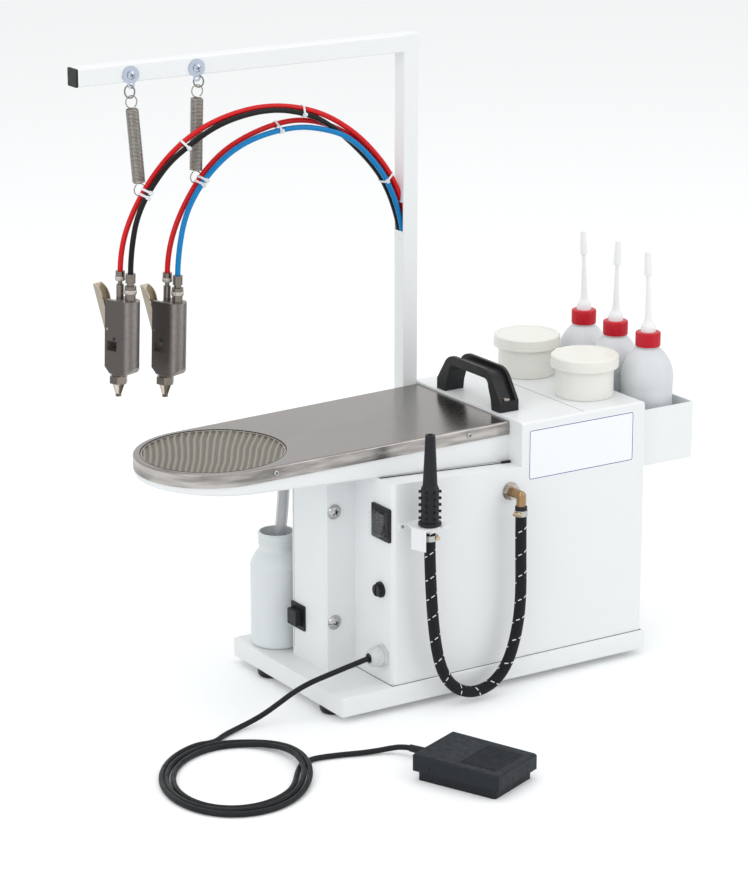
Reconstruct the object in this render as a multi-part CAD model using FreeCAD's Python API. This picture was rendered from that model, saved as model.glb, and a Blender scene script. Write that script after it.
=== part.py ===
"""Table-top textile stain-removing station, written as an assembly of separate pieces.

Units are millimetres. The origin is on the floor under the middle of the base pan.
+X points to the bottle tray, +Y to the back and +Z up.
"""
import FreeCAD, Part
import math
import os

# ---------------------------------------------------------------- driving sizes
# Base pan and feet
BASE_LENGTH = 420.0
BASE_DEPTH = 240.0
BASE_HEIGHT = 22.5
BASE_SHEET = 2.0
BASE_CORNER = 9.0
BASE_EDGE = 2.0
BASE_FLANGE = 28.0
FOOT_HEIGHT = 8.0
FOOT_TOP_RADIUS = 13.0
FOOT_FLOOR_RADIUS = 10.0
FOOT_RECESS_RADIUS = 4.0
FOOT_RECESS_DEPTH = 3.0
FOOT_SIDE_INSET = 14.0
FOOT_FRONT_INSET = 42.0
FOOT_BACK_INSET = 62.0

# Cabinet: a low housing on the left and a taller head on the right, bent from one sheet
CABINET_SHEET = 1.5
CABINET_RIGHT_INSET = 4.5
CABINET_FRONT_INSET = 3.5
HEAD_LENGTH = 174.0
HEAD_DEPTH = 223.5
HEAD_HEIGHT = 279.0
LOW_LENGTH = 173.0
LOW_DEPTH = 214.0
LOW_HEIGHT = 228.5
LOW_SLOPE = 0.045
FRONT_CORNER = 6.0
HEAD_SIDE_EDGE = 5.0
BEND_EDGE = 2.5
TIGHT_BEND = 0.5

# Louvred service panel on the back of the head
PANEL_LENGTH = 157.0
PANEL_HEIGHT = 245.0
PANEL_BOTTOM_GAP = 14.5
PANEL_LAP = 12.0
LOUVRE_LENGTH = 52.0
LOUVRE_HEIGHT = 7.0
LOUVRE_REACH = 4.0
LOUVRE_PITCH = 17.0
LOUVRE_ROWS = 7

# Duct column under the board
COLUMN_LENGTH = 37.9
COLUMN_DEPTH = 74.8
COLUMN_FRONT_SETBACK = 77.7
COLUMN_FLANGE = 8.0
CAP_SCREW_RADIUS = 8.5
CAP_SCREW_DOME = 5.0
CAP_SCREW_RIM = 1.0
CAP_SCREW_SHANK_RADIUS = 2.5
CAP_SCREW_SHANK = 8.0
CAP_SCREW_HEIGHTS = (58.3, 189.2)
CAP_SCREW_SETBACK = 10.0

# Spotting board: steel top with a rolled rim over a white wedge pan
BOARD_LENGTH = 420.0
BOARD_ROOT_WIDTH = 189.6
NOSE_RADIUS = 88.5
BOARD_DROP = 2.5
BOARD_TILT = 0.877
BOARD_TUCK = 3.0
RIM_HEIGHT = 15.5
RIM_SHEET = 1.2
RIM_EDGE = 2.5
PAN_SHEET = 2.0
PAN_CLEARANCE = 0.4
PAN_LAP = 6.0
PAN_EDGE = 3.0

# Round mesh screen that lies in the board's nose
SCREEN_RADIUS = 80.2
SCREEN_CLEARANCE = 0.4
SCREEN_RING = 4.0
SCREEN_THICKNESS = 2.6
SCREEN_SEAT_DEPTH = 3.0
SCREEN_LEDGE = 5.5
SCREEN_WAVES = 25
SCREEN_WAVE_HEIGHT = 1.2
SCREEN_CREST_DROP = 0.3
SCREEN_MESH = 0.9
SCREEN_MESH_LAP = 1.0

# Drain spigot, tube and waste bottle
SPIGOT_FROM_LEFT = 24.5
SPIGOT_FROM_BACK = 22.5
SPIGOT_RADIUS = 5.0
SPIGOT_BORE = 3.5
SPIGOT_LENGTH = 16.0
DRAIN_TUBE_RADIUS = 7.0
DRAIN_TUBE_FIT = 0.05
WASTE_RADIUS = 31.0
WASTE_HEIGHT = 135.5
WASTE_BODY_HEIGHT = 96.5
WASTE_NECK_RADIUS = 21.0
WASTE_NECK_START = 114.5
WASTE_WALL = 1.4
WASTE_SIDE_GAP = 1.5
WASTE_COLUMN_GAP = 12.0
WASTE_FOOT_EDGE = 4.0
WASTE_SHOULDER_DROP = 3.5
DRAIN_TUBE_GAP = 1.5
DRAIN_TUBE_END = (1.5, -3.5, -16.0)

# Mast and arm: square tube
MAST_SIZE = 20.0
MAST_WALL = 1.5
MAST_EDGE = 1.5
MAST_HEIGHT = 690.0
ARM_REACH = 416.5
PLUG_HEAD = 2.5
PLUG_INSERT = 12.0
SLOT_TOP_RISE = 237.0
SLOT_HEIGHT = 62.0

# Eye plates, links and springs that carry the gun hoses: distance left of the mast, link
# length, and the lower spring eye, from the mast's front left edge and the board's top
HANGERS = (
    (353.2, 14.0, (-344.3, -5.0, 272.2)),
    (271.3, 10.0, (-276.1, -3.5, 281.0)),
)
EYE_PLATE_DROP = 12.0
EYE_PLATE_RADIUS = 9.8
EYE_PLATE_SHEET = 1.6
EYE_TAB_RADIUS = 4.2
EYE_TAB_DROP = 11.0
EYE_HOLE_RADIUS = 2.2
EYE_BOLT_RADIUS = 4.6
EYE_BOLT_HEAD = 3.0
LINK_WIDTH = 8.0
LINK_WIRE = 1.0
SPRING_RADIUS = 6.7
SPRING_EYE_RADIUS = 5.0
SPRING_WIRE = 0.9
SPRING_SHOULDER = 3.7

# Spray guns at working height: each nozzle tip, from the mast's front left edge and the
# board's top
GUN_TIPS = {
    "left": (-381.7, -8.9, 47.8),
    "right": (-323.1, -8.9, 38.3),
}
GUN_TURN = -66.7
GUN_LEAN = 1.8
GUN_WIDTH = 25.0
GUN_HEIGHT = 83.0
GUN_FLAT_LENGTH = 22.9
GUN_NOZZLE_SETBACK = 10.0
GUN_LEVER_CHAMFER = 7.0
GUN_NOSE_CHAMFER = 8.5
WINDOW_LENGTH = 13.2
WINDOW_HEIGHT = 11.4
WINDOW_SETBACK = 3.3
WINDOW_RISE = 25.8
LEVER_WIDTH = 14.0
LEVER_SIDE_GAP = 0.6
LEVER_SHEET = 1.3
LEVER_SLOT_DEPTH = 9.0
LEVER_SLOT_RISE = 44.0
LEVER_PIVOT = (3.0, 50.0)
LEVER_TIP = (-21.7, 96.0)
LEVER_BOW = (-12.5, 90.5)
LEVER_BACK = ((4.0, 48.0), (3.5, 56.0), (-3.0, 70.0), (-8.0, 80.5))
LEVER_HEEL = (-4.4, 47.0)
LEVER_PIN_RADIUS = 1.5
LEVER_PIN_SET = 0.3
RUNNING_FIT = 0.05
NOZZLE_LEVELS = ((7.5, -4.0), (9.0, -12.5), (7.25, -12.5), (3.5, -24.3), (3.25, -27.7))
NOZZLE_BORE = 1.2
FITTING_ONE = (10.9, ((4.1, 16.5), (2.5, 21.0), (5.2, 31.4)))
FITTING_TWO = (25.3, ((5.75, 7.5), (6.5, 16.6), (4.0, 20.0), (5.5, 30.4)))

# Hoses and cord
GUN_HOSE_RADIUS = 3.1
GUN_HOSE_LEAD = 25.0
CORD_RADIUS = 3.1
BRAID_RADIUS = 6.5
BRAID_BORE = 4.0
BRAID_LEADS = (43.0, 25.0)

# Carry handle on the head
HANDLE_WIDTH = 25.9
HANDLE_SPAN = 128.5
HANDLE_HEIGHT = 45.5
HANDLE_LEG = 16.8
HANDLE_GRIP = 11.0
HANDLE_SHOULDER = 26.5
HANDLE_CHANNEL = 17.9
HANDLE_CHANNEL_DEPTH = 5.0
HANDLE_FOOT = 12.5
HANDLE_OUTER = ((16.0, 35.5), (23.0, 42.1), 35.0)
HANDLE_INNER = (2.0, 7.5, 10.0, 15.0)
HANDLE_LEFT_GAP = 2.8
HANDLE_FRONT_GAP = 48.2

# Jars on the head
JAR_RADIUS = 34.0
JAR_BODY = 34.6
JAR_WALL = 1.6
JAR_RIM_RADIUS = 37.4
JAR_RIM = 11.0
JAR_RIM_FLARE = 3.0
JAR_FOOT_RING = (5.0, 1.0)
LID_RADIUS = 39.3
LID_HEIGHT = 14.0
LID_WALL = 1.4
LID_EDGE = 1.5
LID_RING = (5.0, 6.0)
LID_CLEARANCE = 0.4
JAR_INSETS = {"rear": (43.5, 47.1), "front": (42.0, 160.3)}

# Bottle tray and squeeze bottles
TRAY_LENGTH = 78.0
TRAY_DEPTH = 201.8
TRAY_HEIGHT = 67.3
TRAY_DROP = 14.7
TRAY_FRONT_GAP = 10.7
TRAY_SHEET = 1.5
BOTTLE_COUNT = 3
BOTTLE_RADIUS = 30.0
BOTTLE_PITCH = 63.0
BOTTLE_FIRST = 39.1
BOTTLE_WALL = 1.2
BOTTLE_STRAIGHT = 83.0
BOTTLE_HEIGHT = 129.0
BOTTLE_NECK_RADIUS = 12.6
BOTTLE_NECK = 15.0
BOTTLE_CAP_RADIUS = 14.7
BOTTLE_CAP_HEIGHT = 20.0
BOTTLE_CAP_WALL = 1.8
BOTTLE_CAP_EDGE = 1.0
BOTTLE_CAP_GAP = 0.5
BOTTLE_FOOT_RING = (6.0, 1.5)
BOTTLE_FOOT_EDGE = 2.5
BOTTLE_SHOULDER = (0.22, 0.63)
SPOUT_LEVELS = ((8.2, 0.0), (7.0, 7.0), (4.7, 11.0), (3.8, 24.0), (2.9, 46.0), (2.3, 67.0),
                (4.4, 67.0), (3.9, 82.0), (3.4, 95.0))

# Blow-off line on the front
OUTLET_FROM_HEAD = 15.7
OUTLET_RISE = 203.0
OUTLET_WASHER_RADIUS = 10.5
OUTLET_WASHER = 1.5
OUTLET_HEX = 17.0
OUTLET_HEX_LENGTH = 5.0
LINE_STANDOFF = 22.0
ELBOW_RADIUS = 5.4
ELBOW_DROP = 12.0
BARB_RADIUS = 3.95
BARB_LENGTH = 14.0
CLAMP_BAND = 1.0
CLAMP_HEIGHT = 8.0
CLAMP_SCREW = (9.0, 5.0, 6.0)
CLAMP_DROPS = (4.0, 3.0)
OUTLET_THREAD = 8.0
NOZZLE_FROM_LEFT = 33.0
NOZZLE_STANDOFF = 24.0
NOZZLE_SEAT_RISE = 190.5
BLOW_GRIP_RADIUS = 10.0
BLOW_GRIP_HEIGHT = 47.0
BLOW_FLANGE_RADIUS = 13.0
BLOW_FLANGE_HEIGHT = 4.0
BLOW_FLANGE_EDGE = 1.5
BLOW_GRIP_TAPER = 4.0
BLOW_CONE = (8.2, 5.5, 57.0)
BLOW_BORE = 3.0
STUD_RADIUS = 1.7
STUD_REACH = 2.6
STUD_ROWS = 6
STUDS_PER_ROW = 5
STUD_PITCH = 7.6
STUD_FIRST = 5.0
NUT_RADIUS = 7.5
NUT_HEIGHT = 7.0
HOLDER_SHEET = 1.5
HOLDER_SLOT_GAP = 0.6
HOLDER_SKIRT = 25.0
HOLDER_RIGHT = 20.5
HOLDER_FLANGE = 8.0
HOLDER_FLANGE_LEFT = 25.0
HOLDER_ROOT_LEFT = 16.5
HOLDER_SKIRT_BACK = (21.5, 4.5)
HOLDER_SKIRT_FRONT = 15.3
HOLDER_LIP = 13.5

# Switch with splash cover, fuse and cord gland on the cabinet's left face
SWITCH_FROM_FRONT = 21.9
SWITCH_RISE = 187.2
BEZEL_SIZE = (37.0, 39.0, 2.5)
ROCKER_SIZE = (16.0, 22.0)
ROCKER_DEPTH = 8.0
ROCKER_TILT = 7.0
ROCKER_PROUD = 2.5
ROCKER_DISH = 2.0
ROCKER_TAIL = 3.0
ROCKER_GAP = 1.0
BEZEL_CORNER = 2.0
BOOT_WIDTH = 24.0
BOOT_HEIGHT = 27.0
BOOT_REACH = 14.0
BOOT_WALL = 1.0
FUSE_FROM_FRONT = 24.0
FUSE_RISE = 108.1
FUSE_FLANGE_RADIUS = 9.0
FUSE_FLANGE = 2.2
FUSE_BARREL_RADIUS = 6.0
FUSE_BARREL = 26.0
FUSE_CAP_RADIUS = 7.0
FUSE_CAP_REACH = 5.0
FUSE_CAP_SLOT = 2.0
FUSE_STEM_RADIUS = 4.5
FUSE_STEM = 12.0
GLAND_FROM_FRONT = 19.5
GLAND_RISE = 31.5
GLAND_HEX = 24.0
GLAND_HEX_LENGTH = 5.0
GLAND_DOME_RADIUS = 11.0
GLAND_DOME = 14.0
GLAND_DOME_SIDE = 8.4
GLAND_DOME_BEND = (1.2, 12.04)
GLAND_MOUTH_RADIUS = 7.0
GLAND_THREAD_RADIUS = 8.0
GLAND_THREAD = 9.0
PANEL_HOLE_GAP = 0.1

# Push button on the column's left face
BUTTON_FROM_BACK = 14.5
BUTTON_RISE = 50.0
BUTTON_BEZEL = (29.0, 30.0, 2.0)
BUTTON_SIZE = 19.0
BUTTON_REACH = 8.5
BUTTON_TAIL = 6.0
BUTTON_GAP = 0.5
BUTTON_CORNER = 1.5
BUTTON_EDGE = 1.0

# Foot pedal on the floor
PEDAL_CENTRE = (-173.5, -326.3)
PEDAL_TURN = -66.7
PEDAL_BASE = (97.0, 72.0)
PEDAL_BASE_HEIGHT = 15.0
PEDAL_BASE_SHEET = 2.5
PEDAL_CORNER = 3.0
TREADLE_GAP = 1.5
TREADLE_WALL = 2.5
TREADLE_END_GAP = 3.0
TREADLE_SKIRT = 11.0
TREADLE_REAR_HEIGHT = 30.0
TREADLE_TOE_HEIGHT = 28.0
TREADLE_EDGE = 4.0
PEDAL_PIN_RADIUS = 2.0
PEDAL_PIN_SETBACK = 24.0
PEDAL_PIN_HEIGHT = 18.5
PEDAL_PIN_SET = 0.5
PEDAL_EAR_RADIUS = 5.0
PEDAL_EAR_WIDTH = 6.0
GRIP_RIBS = 14
GRIP_RIB_PITCH = 3.2
GRIP_RIB_HEIGHT = 0.8
RELIEF_RADIUS = 5.0
RELIEF_END_RADIUS = 4.0
RELIEF_LENGTH = 43.5
RELIEF_OFFSET = 15.0
RELIEF_DROP = 5.5
RELIEF_NOTCH_GAP = 1.0
RELIEF_LEAD = 13.0

# Loose coil of pedal cord on the floor
COIL_CENTRE = (-387.0, -191.0)
COIL_OUTER = (107.0, 83.0)
COIL_INNER = (79.0, 64.0)
COIL_HEIGHT = 12.0
COIL_TURN = 57.3

# Machinery inside the cabinet
BLOWER_VOLUTE = (60.0, 48.0)
BLOWER_MOTOR = (42.0, 70.0)
BLOWER_GAP = 24.0
VALVE_COUNT = 4
VALVE_PITCH = 26.0
VALVE_BLOCK = (104.0, 26.0, 22.0)
VALVE_COIL = (18.0, 20.0, 30.0)
VALVE_GAP = 22.0

# ---------------------------------------------------------------- places worked out
BASE_LEFT = -BASE_LENGTH / 2
BASE_RIGHT = BASE_LENGTH / 2
BASE_FRONT = -BASE_DEPTH / 2
BASE_BACK = BASE_DEPTH / 2
BASE_TOP = FOOT_HEIGHT + BASE_HEIGHT

CABINET_RIGHT = BASE_RIGHT - CABINET_RIGHT_INSET
CABINET_FRONT = BASE_FRONT + CABINET_FRONT_INSET
HEAD_LEFT = CABINET_RIGHT - HEAD_LENGTH
HEAD_BACK = CABINET_FRONT + HEAD_DEPTH
HEAD_TOP = BASE_TOP + HEAD_HEIGHT
CABINET_LEFT = HEAD_LEFT - LOW_LENGTH
LOW_BACK = CABINET_FRONT + LOW_DEPTH
LOW_TOP = BASE_TOP + LOW_HEIGHT

COLUMN_LEFT = CABINET_LEFT - COLUMN_LENGTH
COLUMN_FRONT = CABINET_FRONT + COLUMN_FRONT_SETBACK
COLUMN_BACK = COLUMN_FRONT + COLUMN_DEPTH

BOARD_TOP = HEAD_TOP - BOARD_DROP
BOARD_Y = LOW_BACK - BOARD_ROOT_WIDTH / 2
NOSE_CENTRE = NOSE_RADIUS - BOARD_LENGTH
BOARD_FALL = math.tan(math.radians(BOARD_TILT))
PAN_INSET = RIM_SHEET + PAN_CLEARANCE

SPIGOT_X = CABINET_LEFT - SPIGOT_FROM_LEFT
SPIGOT_Y = LOW_BACK - SPIGOT_FROM_BACK
WASTE_X = CABINET_LEFT - WASTE_SIDE_GAP - WASTE_RADIUS
WASTE_Y = COLUMN_BACK + WASTE_COLUMN_GAP + WASTE_RADIUS

MAST_RIGHT = HEAD_LEFT
MAST_LEFT = MAST_RIGHT - MAST_SIZE
MAST_FRONT = LOW_BACK
MAST_BACK = MAST_FRONT + MAST_SIZE
MAST_TOP = BASE_TOP + MAST_HEIGHT
ARM_LEFT = MAST_LEFT - ARM_REACH

TRAY_RIGHT = CABINET_RIGHT + TRAY_LENGTH
TRAY_FRONT = CABINET_FRONT + TRAY_FRONT_GAP
TRAY_BACK = TRAY_FRONT + TRAY_DEPTH
TRAY_TOP = HEAD_TOP - TRAY_DROP
TRAY_BOTTOM = TRAY_TOP - TRAY_HEIGHT
TRAY_FLOOR = TRAY_BOTTOM + TRAY_SHEET

LINE_Y = CABINET_FRONT - LINE_STANDOFF
OUTLET_X = HEAD_LEFT - OUTLET_FROM_HEAD
OUTLET_Z = BASE_TOP + OUTLET_RISE
BLOW_X = CABINET_LEFT + NOZZLE_FROM_LEFT
BLOW_Y = CABINET_FRONT - NOZZLE_STANDOFF
BLOW_SEAT = BASE_TOP + NOZZLE_SEAT_RISE

SWITCH_Y = CABINET_FRONT + SWITCH_FROM_FRONT
SWITCH_Z = BASE_TOP + SWITCH_RISE
FUSE_Y = CABINET_FRONT + FUSE_FROM_FRONT
FUSE_Z = BASE_TOP + FUSE_RISE
GLAND_Y = CABINET_FRONT + GLAND_FROM_FRONT
GLAND_Z = BASE_TOP + GLAND_RISE
BUTTON_Y = COLUMN_BACK - BUTTON_FROM_BACK
BUTTON_Z = BASE_TOP + BUTTON_RISE
RELIEF_HEIGHT = PEDAL_BASE_HEIGHT - RELIEF_DROP


# ---------------------------------------------------------------- shape helpers
def vec(x, y, z):
    return FreeCAD.Vector(x, y, z)


def on_plan(a, b):
    return vec(a, b, 0)


def on_front(a, b):
    return vec(a, 0, b)


def on_side(a, b):
    return vec(0, a, b)


def outline(plane, start, *steps):
    """Closed face on a plane: each step is a corner, or a (middle, end) pair for an arc."""
    edges = []
    here = plane(*start)
    for step in steps + (start,):
        if isinstance(step[0], tuple):
            middle, end = (plane(*corner) for corner in step)
            edges.append(Part.Arc(here, middle, end).toShape())
        else:
            end = plane(*step)
            if end.distanceToPoint(here) > 1e-6:
                edges.append(Part.LineSegment(here, end).toShape())
        here = end
    return Part.Face(Part.Wire(edges))


def box(x0, x1, y0, y1, z0, z1):
    return Part.makeBox(x1 - x0, y1 - y0, z1 - z0, vec(x0, y0, z0))


def rod(radius, start, end):
    return Part.makeCylinder(radius, start.distanceToPoint(end), start, end - start)


def upright(radius, x, y, z0, z1):
    return rod(radius, vec(x, y, z0), vec(x, y, z1))


def hexagon(across_flats, start, end):
    """Six-sided bar between two points."""
    bar = outline(on_plan, *hexagon_corners(across_flats)).extrude(vec(0, 0, start.distanceToPoint(end)))
    bar.Placement = FreeCAD.Placement(start, FreeCAD.Rotation(vec(0, 0, 1), end - start))
    return bar


def hexagon_corners(across_flats):
    reach = across_flats / math.sqrt(3)
    angles = (math.radians(60 * corner) for corner in range(6))
    return [(reach * math.cos(angle), reach * math.sin(angle)) for angle in angles]


def turned(x, y, z, start, *steps):
    """Turn a (radius, height) outline about an upright axis that stands at x, y, z."""
    solid = outline(on_front, start, *steps).revolve(vec(0, 0, 0), vec(0, 0, 1), 360)
    solid.translate(vec(x, y, z))
    return solid


def dome(radius, low, high):
    """Arc step for turned(): from a rim at height low, over to the axis at height high."""
    centre = (high ** 2 - low ** 2 - radius ** 2) / (2 * (high - low))
    sphere = high - centre
    angle = math.atan2(low - centre, radius)
    middle = (angle + math.pi / 2) / 2
    return (sphere * math.cos(middle), centre + sphere * math.sin(middle)), (0, high)


def stepped(levels):
    """Turned solid of straight steps, from the (radius, top height) of each."""
    profile = []
    floor = 0
    for radius, top in levels:
        profile += [(radius, floor), (radius, top)]
        floor = top
    return turned(0, 0, 0, (0, 0), *profile, (0, floor))


def rounded(shape, radius, chosen):
    """Round the edges whose bounding box passes the test."""
    edges = [edge for edge in shape.Edges if chosen(edge.BoundBox)]
    return shape.makeFillet(radius, edges)


def is_upright(bounds):
    return bounds.XLength < 0.01 and bounds.YLength < 0.01 and bounds.ZLength > 0.01


def rounded_block(x0, x1, y0, y1, z0, z1, radius):
    """Block with rounded upright edges."""
    return rounded(box(x0, x1, y0, y1, z0, z1), radius, is_upright)


def face_block(x0, x1, y0, y1, z0, z1, radius):
    """Block with rounded edges along X."""
    return rounded(box(x0, x1, y0, y1, z0, z1), radius,
                   lambda b: b.XLength > 0.01 and b.YLength < 0.01 and b.ZLength < 0.01)


def ring(centre, axis, radius, wire):
    return Part.makeTorus(radius, wire, centre, axis)


def route(points):
    """Straight runs joined by tangent arcs, each as large as its two runs allow."""
    edges = []
    radii = []
    here = points[0]
    for before, corner, after in zip(points, points[1:], points[2:]):
        back = before - corner
        ahead = after - corner
        set_back = 0.45 * min(back.Length, ahead.Length)
        half_turn = (math.pi - back.getAngle(ahead)) / 2
        radius = set_back / math.tan(half_turn)
        back.normalize()
        ahead.normalize()
        enter = corner + back * set_back
        leave = corner + ahead * set_back
        inward = back + ahead
        inward.normalize()
        middle = corner + inward * (radius / math.cos(half_turn) - radius)
        edges.append(Part.LineSegment(here, enter).toShape())
        edges.append(Part.Arc(enter, middle, leave).toShape())
        radii.append(radius)
        here = leave
    edges.append(Part.LineSegment(here, points[-1]).toShape())
    return Part.Wire(edges), radii


def hose(label, points, radius, bore=0.0):
    """Tube along a route; prints its length and its smallest bend."""
    path, radii = route(points)
    normal = points[1] - points[0]
    solid = swept_circle(path, points[0], normal, radius)
    section = math.pi * radius ** 2
    print("%s: length %.1f, smallest bend %.1f, volume ratio %.4f" % (
        label, path.Length, min(radii), solid.Volume / (section * path.Length)))
    print("   bends", " ".join("%.0f" % bend for bend in radii))
    if bore:
        solid = solid.cut(swept_circle(path, points[0], normal, bore))
    return solid


def swept_circle(path, start, normal, radius):
    circle = Part.Wire(Part.Circle(start, normal, radius).toShape())
    return path.makePipeShell([circle], True, False)


def points_of(*triples):
    return [vec(*triple) for triple in triples]


def save(node, *solids):
    for solid in solids:
        if not solid.isValid() or solid.Volume <= 0:
            print("CHECK", node, solid.ShapeType, solid.Volume)
    shape = solids[0] if len(solids) == 1 else Part.makeCompound(list(solids))
    shape.exportStep("parts/%s.step" % node)


# ---------------------------------------------------------------- base
def base_pan():
    """Folded tray, open below, with a return flange that carries the feet."""
    def block(inset, low, high, corner):
        return rounded_block(BASE_LEFT + inset, BASE_RIGHT - inset, BASE_FRONT + inset, BASE_BACK - inset,
                             low, high, corner)

    sheet = BASE_SHEET
    pan = rounded(block(0, FOOT_HEIGHT, BASE_TOP, BASE_CORNER), BASE_EDGE, lambda b: b.ZMin > BASE_TOP - 0.01)
    pan = pan.cut(block(sheet, FOOT_HEIGHT + sheet, BASE_TOP - sheet, BASE_CORNER - sheet))
    return pan.cut(block(BASE_FLANGE, 0, BASE_TOP - sheet, BASE_CORNER))


def rubber_feet():
    feet = []
    for x in (BASE_LEFT + FOOT_SIDE_INSET, BASE_RIGHT - FOOT_SIDE_INSET):
        for y in (BASE_FRONT + FOOT_FRONT_INSET, BASE_BACK - FOOT_BACK_INSET):
            feet.append(turned(x, y, 0, (FOOT_RECESS_RADIUS, 0), (FOOT_FLOOR_RADIUS, 0),
                               (FOOT_TOP_RADIUS, FOOT_HEIGHT), (0, FOOT_HEIGHT), (0, FOOT_RECESS_DEPTH),
                               (FOOT_RECESS_RADIUS, FOOT_RECESS_DEPTH)))
    return feet


# ---------------------------------------------------------------- cabinet
def low_roof(x, inset=0.0):
    """Height of the low housing's sloping roof at a place along X."""
    return LOW_TOP + LOW_SLOPE * (HEAD_LEFT - x) - inset


def housing_block(inset):
    """Low housing and head in one block, every wall set in by the same amount."""
    left = CABINET_LEFT + inset
    front = CABINET_FRONT + inset
    split = HEAD_LEFT + inset
    floor = BASE_TOP - 2 * inset
    roof = HEAD_TOP - inset
    low = outline(on_front, (left, floor), (split + BEND_EDGE, floor),
                  (split + BEND_EDGE, low_roof(split + BEND_EDGE, inset)), (left, low_roof(left, inset)))
    low.translate(vec(0, front, 0))
    low = low.extrude(vec(0, LOW_DEPTH - 2 * inset, 0))
    head = box(split, CABINET_RIGHT - inset, front, HEAD_BACK - inset, floor, roof)
    head = rounded(head, max(HEAD_SIDE_EDGE - inset, TIGHT_BEND),
                   lambda b: b.XMin > split + 1 and b.ZMin > roof - 0.01)
    head = rounded(head, max(BEND_EDGE - inset, TIGHT_BEND),
                   lambda b: b.ZMin > roof - 0.01 and b.XLength > HEAD_LENGTH / 2)
    block = low.fuse(head).removeSplitter()
    return rounded(block, max(FRONT_CORNER - inset, TIGHT_BEND),
                   lambda b: is_upright(b) and b.XMax < left + 0.01 and b.YMax < front + 0.01)


def panel_edges():
    """Left, right, bottom and top of the service panel."""
    middle = (HEAD_LEFT + CABINET_RIGHT) / 2
    bottom = BASE_TOP + PANEL_BOTTOM_GAP
    return middle - PANEL_LENGTH / 2, middle + PANEL_LENGTH / 2, bottom, bottom + PANEL_HEIGHT


def cabinet_shell():
    """Sheet shell, open below, with every hole that its fittings need."""
    shell = housing_block(0).cut(housing_block(CABINET_SHEET))
    left, right, bottom, top = panel_edges()
    wall = CABINET_SHEET + 1
    holes = [
        box(left + PANEL_LAP, right - PANEL_LAP, HEAD_BACK - wall, HEAD_BACK + 1,
            bottom + PANEL_LAP, top - PANEL_LAP),
        box(CABINET_LEFT - 1, CABINET_LEFT + wall, COLUMN_FRONT + COLUMN_FLANGE, COLUMN_BACK - COLUMN_FLANGE,
            BASE_TOP + 2 * COLUMN_FLANGE, LOW_TOP - 2 * COLUMN_FLANGE),
        box(CABINET_LEFT - 1, CABINET_LEFT + wall, SWITCH_Y - ROCKER_SIZE[0] / 2 - ROCKER_GAP,
            SWITCH_Y + ROCKER_SIZE[0] / 2 + ROCKER_GAP, SWITCH_Z - ROCKER_SIZE[1] / 2 - 2 * ROCKER_GAP,
            SWITCH_Z + ROCKER_SIZE[1] / 2 + 2 * ROCKER_GAP),
        rod(FUSE_BARREL_RADIUS + PANEL_HOLE_GAP, vec(CABINET_LEFT - 1, FUSE_Y, FUSE_Z),
            vec(CABINET_LEFT + wall, FUSE_Y, FUSE_Z)),
        rod(GLAND_THREAD_RADIUS + PANEL_HOLE_GAP, vec(CABINET_LEFT - 1, GLAND_Y, GLAND_Z),
            vec(CABINET_LEFT + wall, GLAND_Y, GLAND_Z)),
        rod(ELBOW_RADIUS + PANEL_HOLE_GAP, vec(OUTLET_X, CABINET_FRONT - 1, OUTLET_Z),
            vec(OUTLET_X, CABINET_FRONT + wall, OUTLET_Z)),
        hose_pass(LOW_BACK - wall, LOW_BACK + 1),
    ]
    for hole in holes:
        shell = shell.cut(hole)
    return shell


def hose_pass(front, back):
    """Hole where the gun hoses cross from the mast into the cabinet."""
    x = (MAST_LEFT + MAST_RIGHT) / 2
    z = BASE_TOP + LOW_HEIGHT / 2
    return rod(MAST_SIZE / 2 - 2 * MAST_WALL, vec(x, front, z), vec(x, back, z))


def louvre(x, z, inset):
    """Pressed hood that opens downwards, as a solid set in by the sheet's thickness."""
    hood = outline(on_side, (0, z - inset), (LOUVRE_REACH - inset, z - LOUVRE_HEIGHT),
                   (LOUVRE_REACH - inset, z - LOUVRE_HEIGHT - inset), (0, z - LOUVRE_HEIGHT - inset))
    hood.translate(vec(x + inset, HEAD_BACK + CABINET_SHEET, 0))
    return hood.extrude(vec(LOUVRE_LENGTH - 2 * inset, 0, 0))


def service_panel():
    """Lift-off back cover with two columns of pressed louvres."""
    left, right, bottom, top = panel_edges()
    panel = box(left, right, HEAD_BACK, HEAD_BACK + CABINET_SHEET, bottom, top)
    side = (PANEL_LENGTH / 2 - LOUVRE_LENGTH) / 2
    for x in (left + side, right - side - LOUVRE_LENGTH):
        for row in range(LOUVRE_ROWS):
            z = top - 3 * LOUVRE_PITCH - row * LOUVRE_PITCH
            skin = CABINET_SHEET / 2
            panel = panel.fuse(louvre(x, z, 0))
            gap = box(x + skin, x + LOUVRE_LENGTH - skin, HEAD_BACK - 1, HEAD_BACK + CABINET_SHEET + 0.01,
                      z - LOUVRE_HEIGHT, z - 2 * skin)
            panel = panel.cut(louvre(x, z, skin)).cut(gap)
    return panel.removeSplitter()


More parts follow.
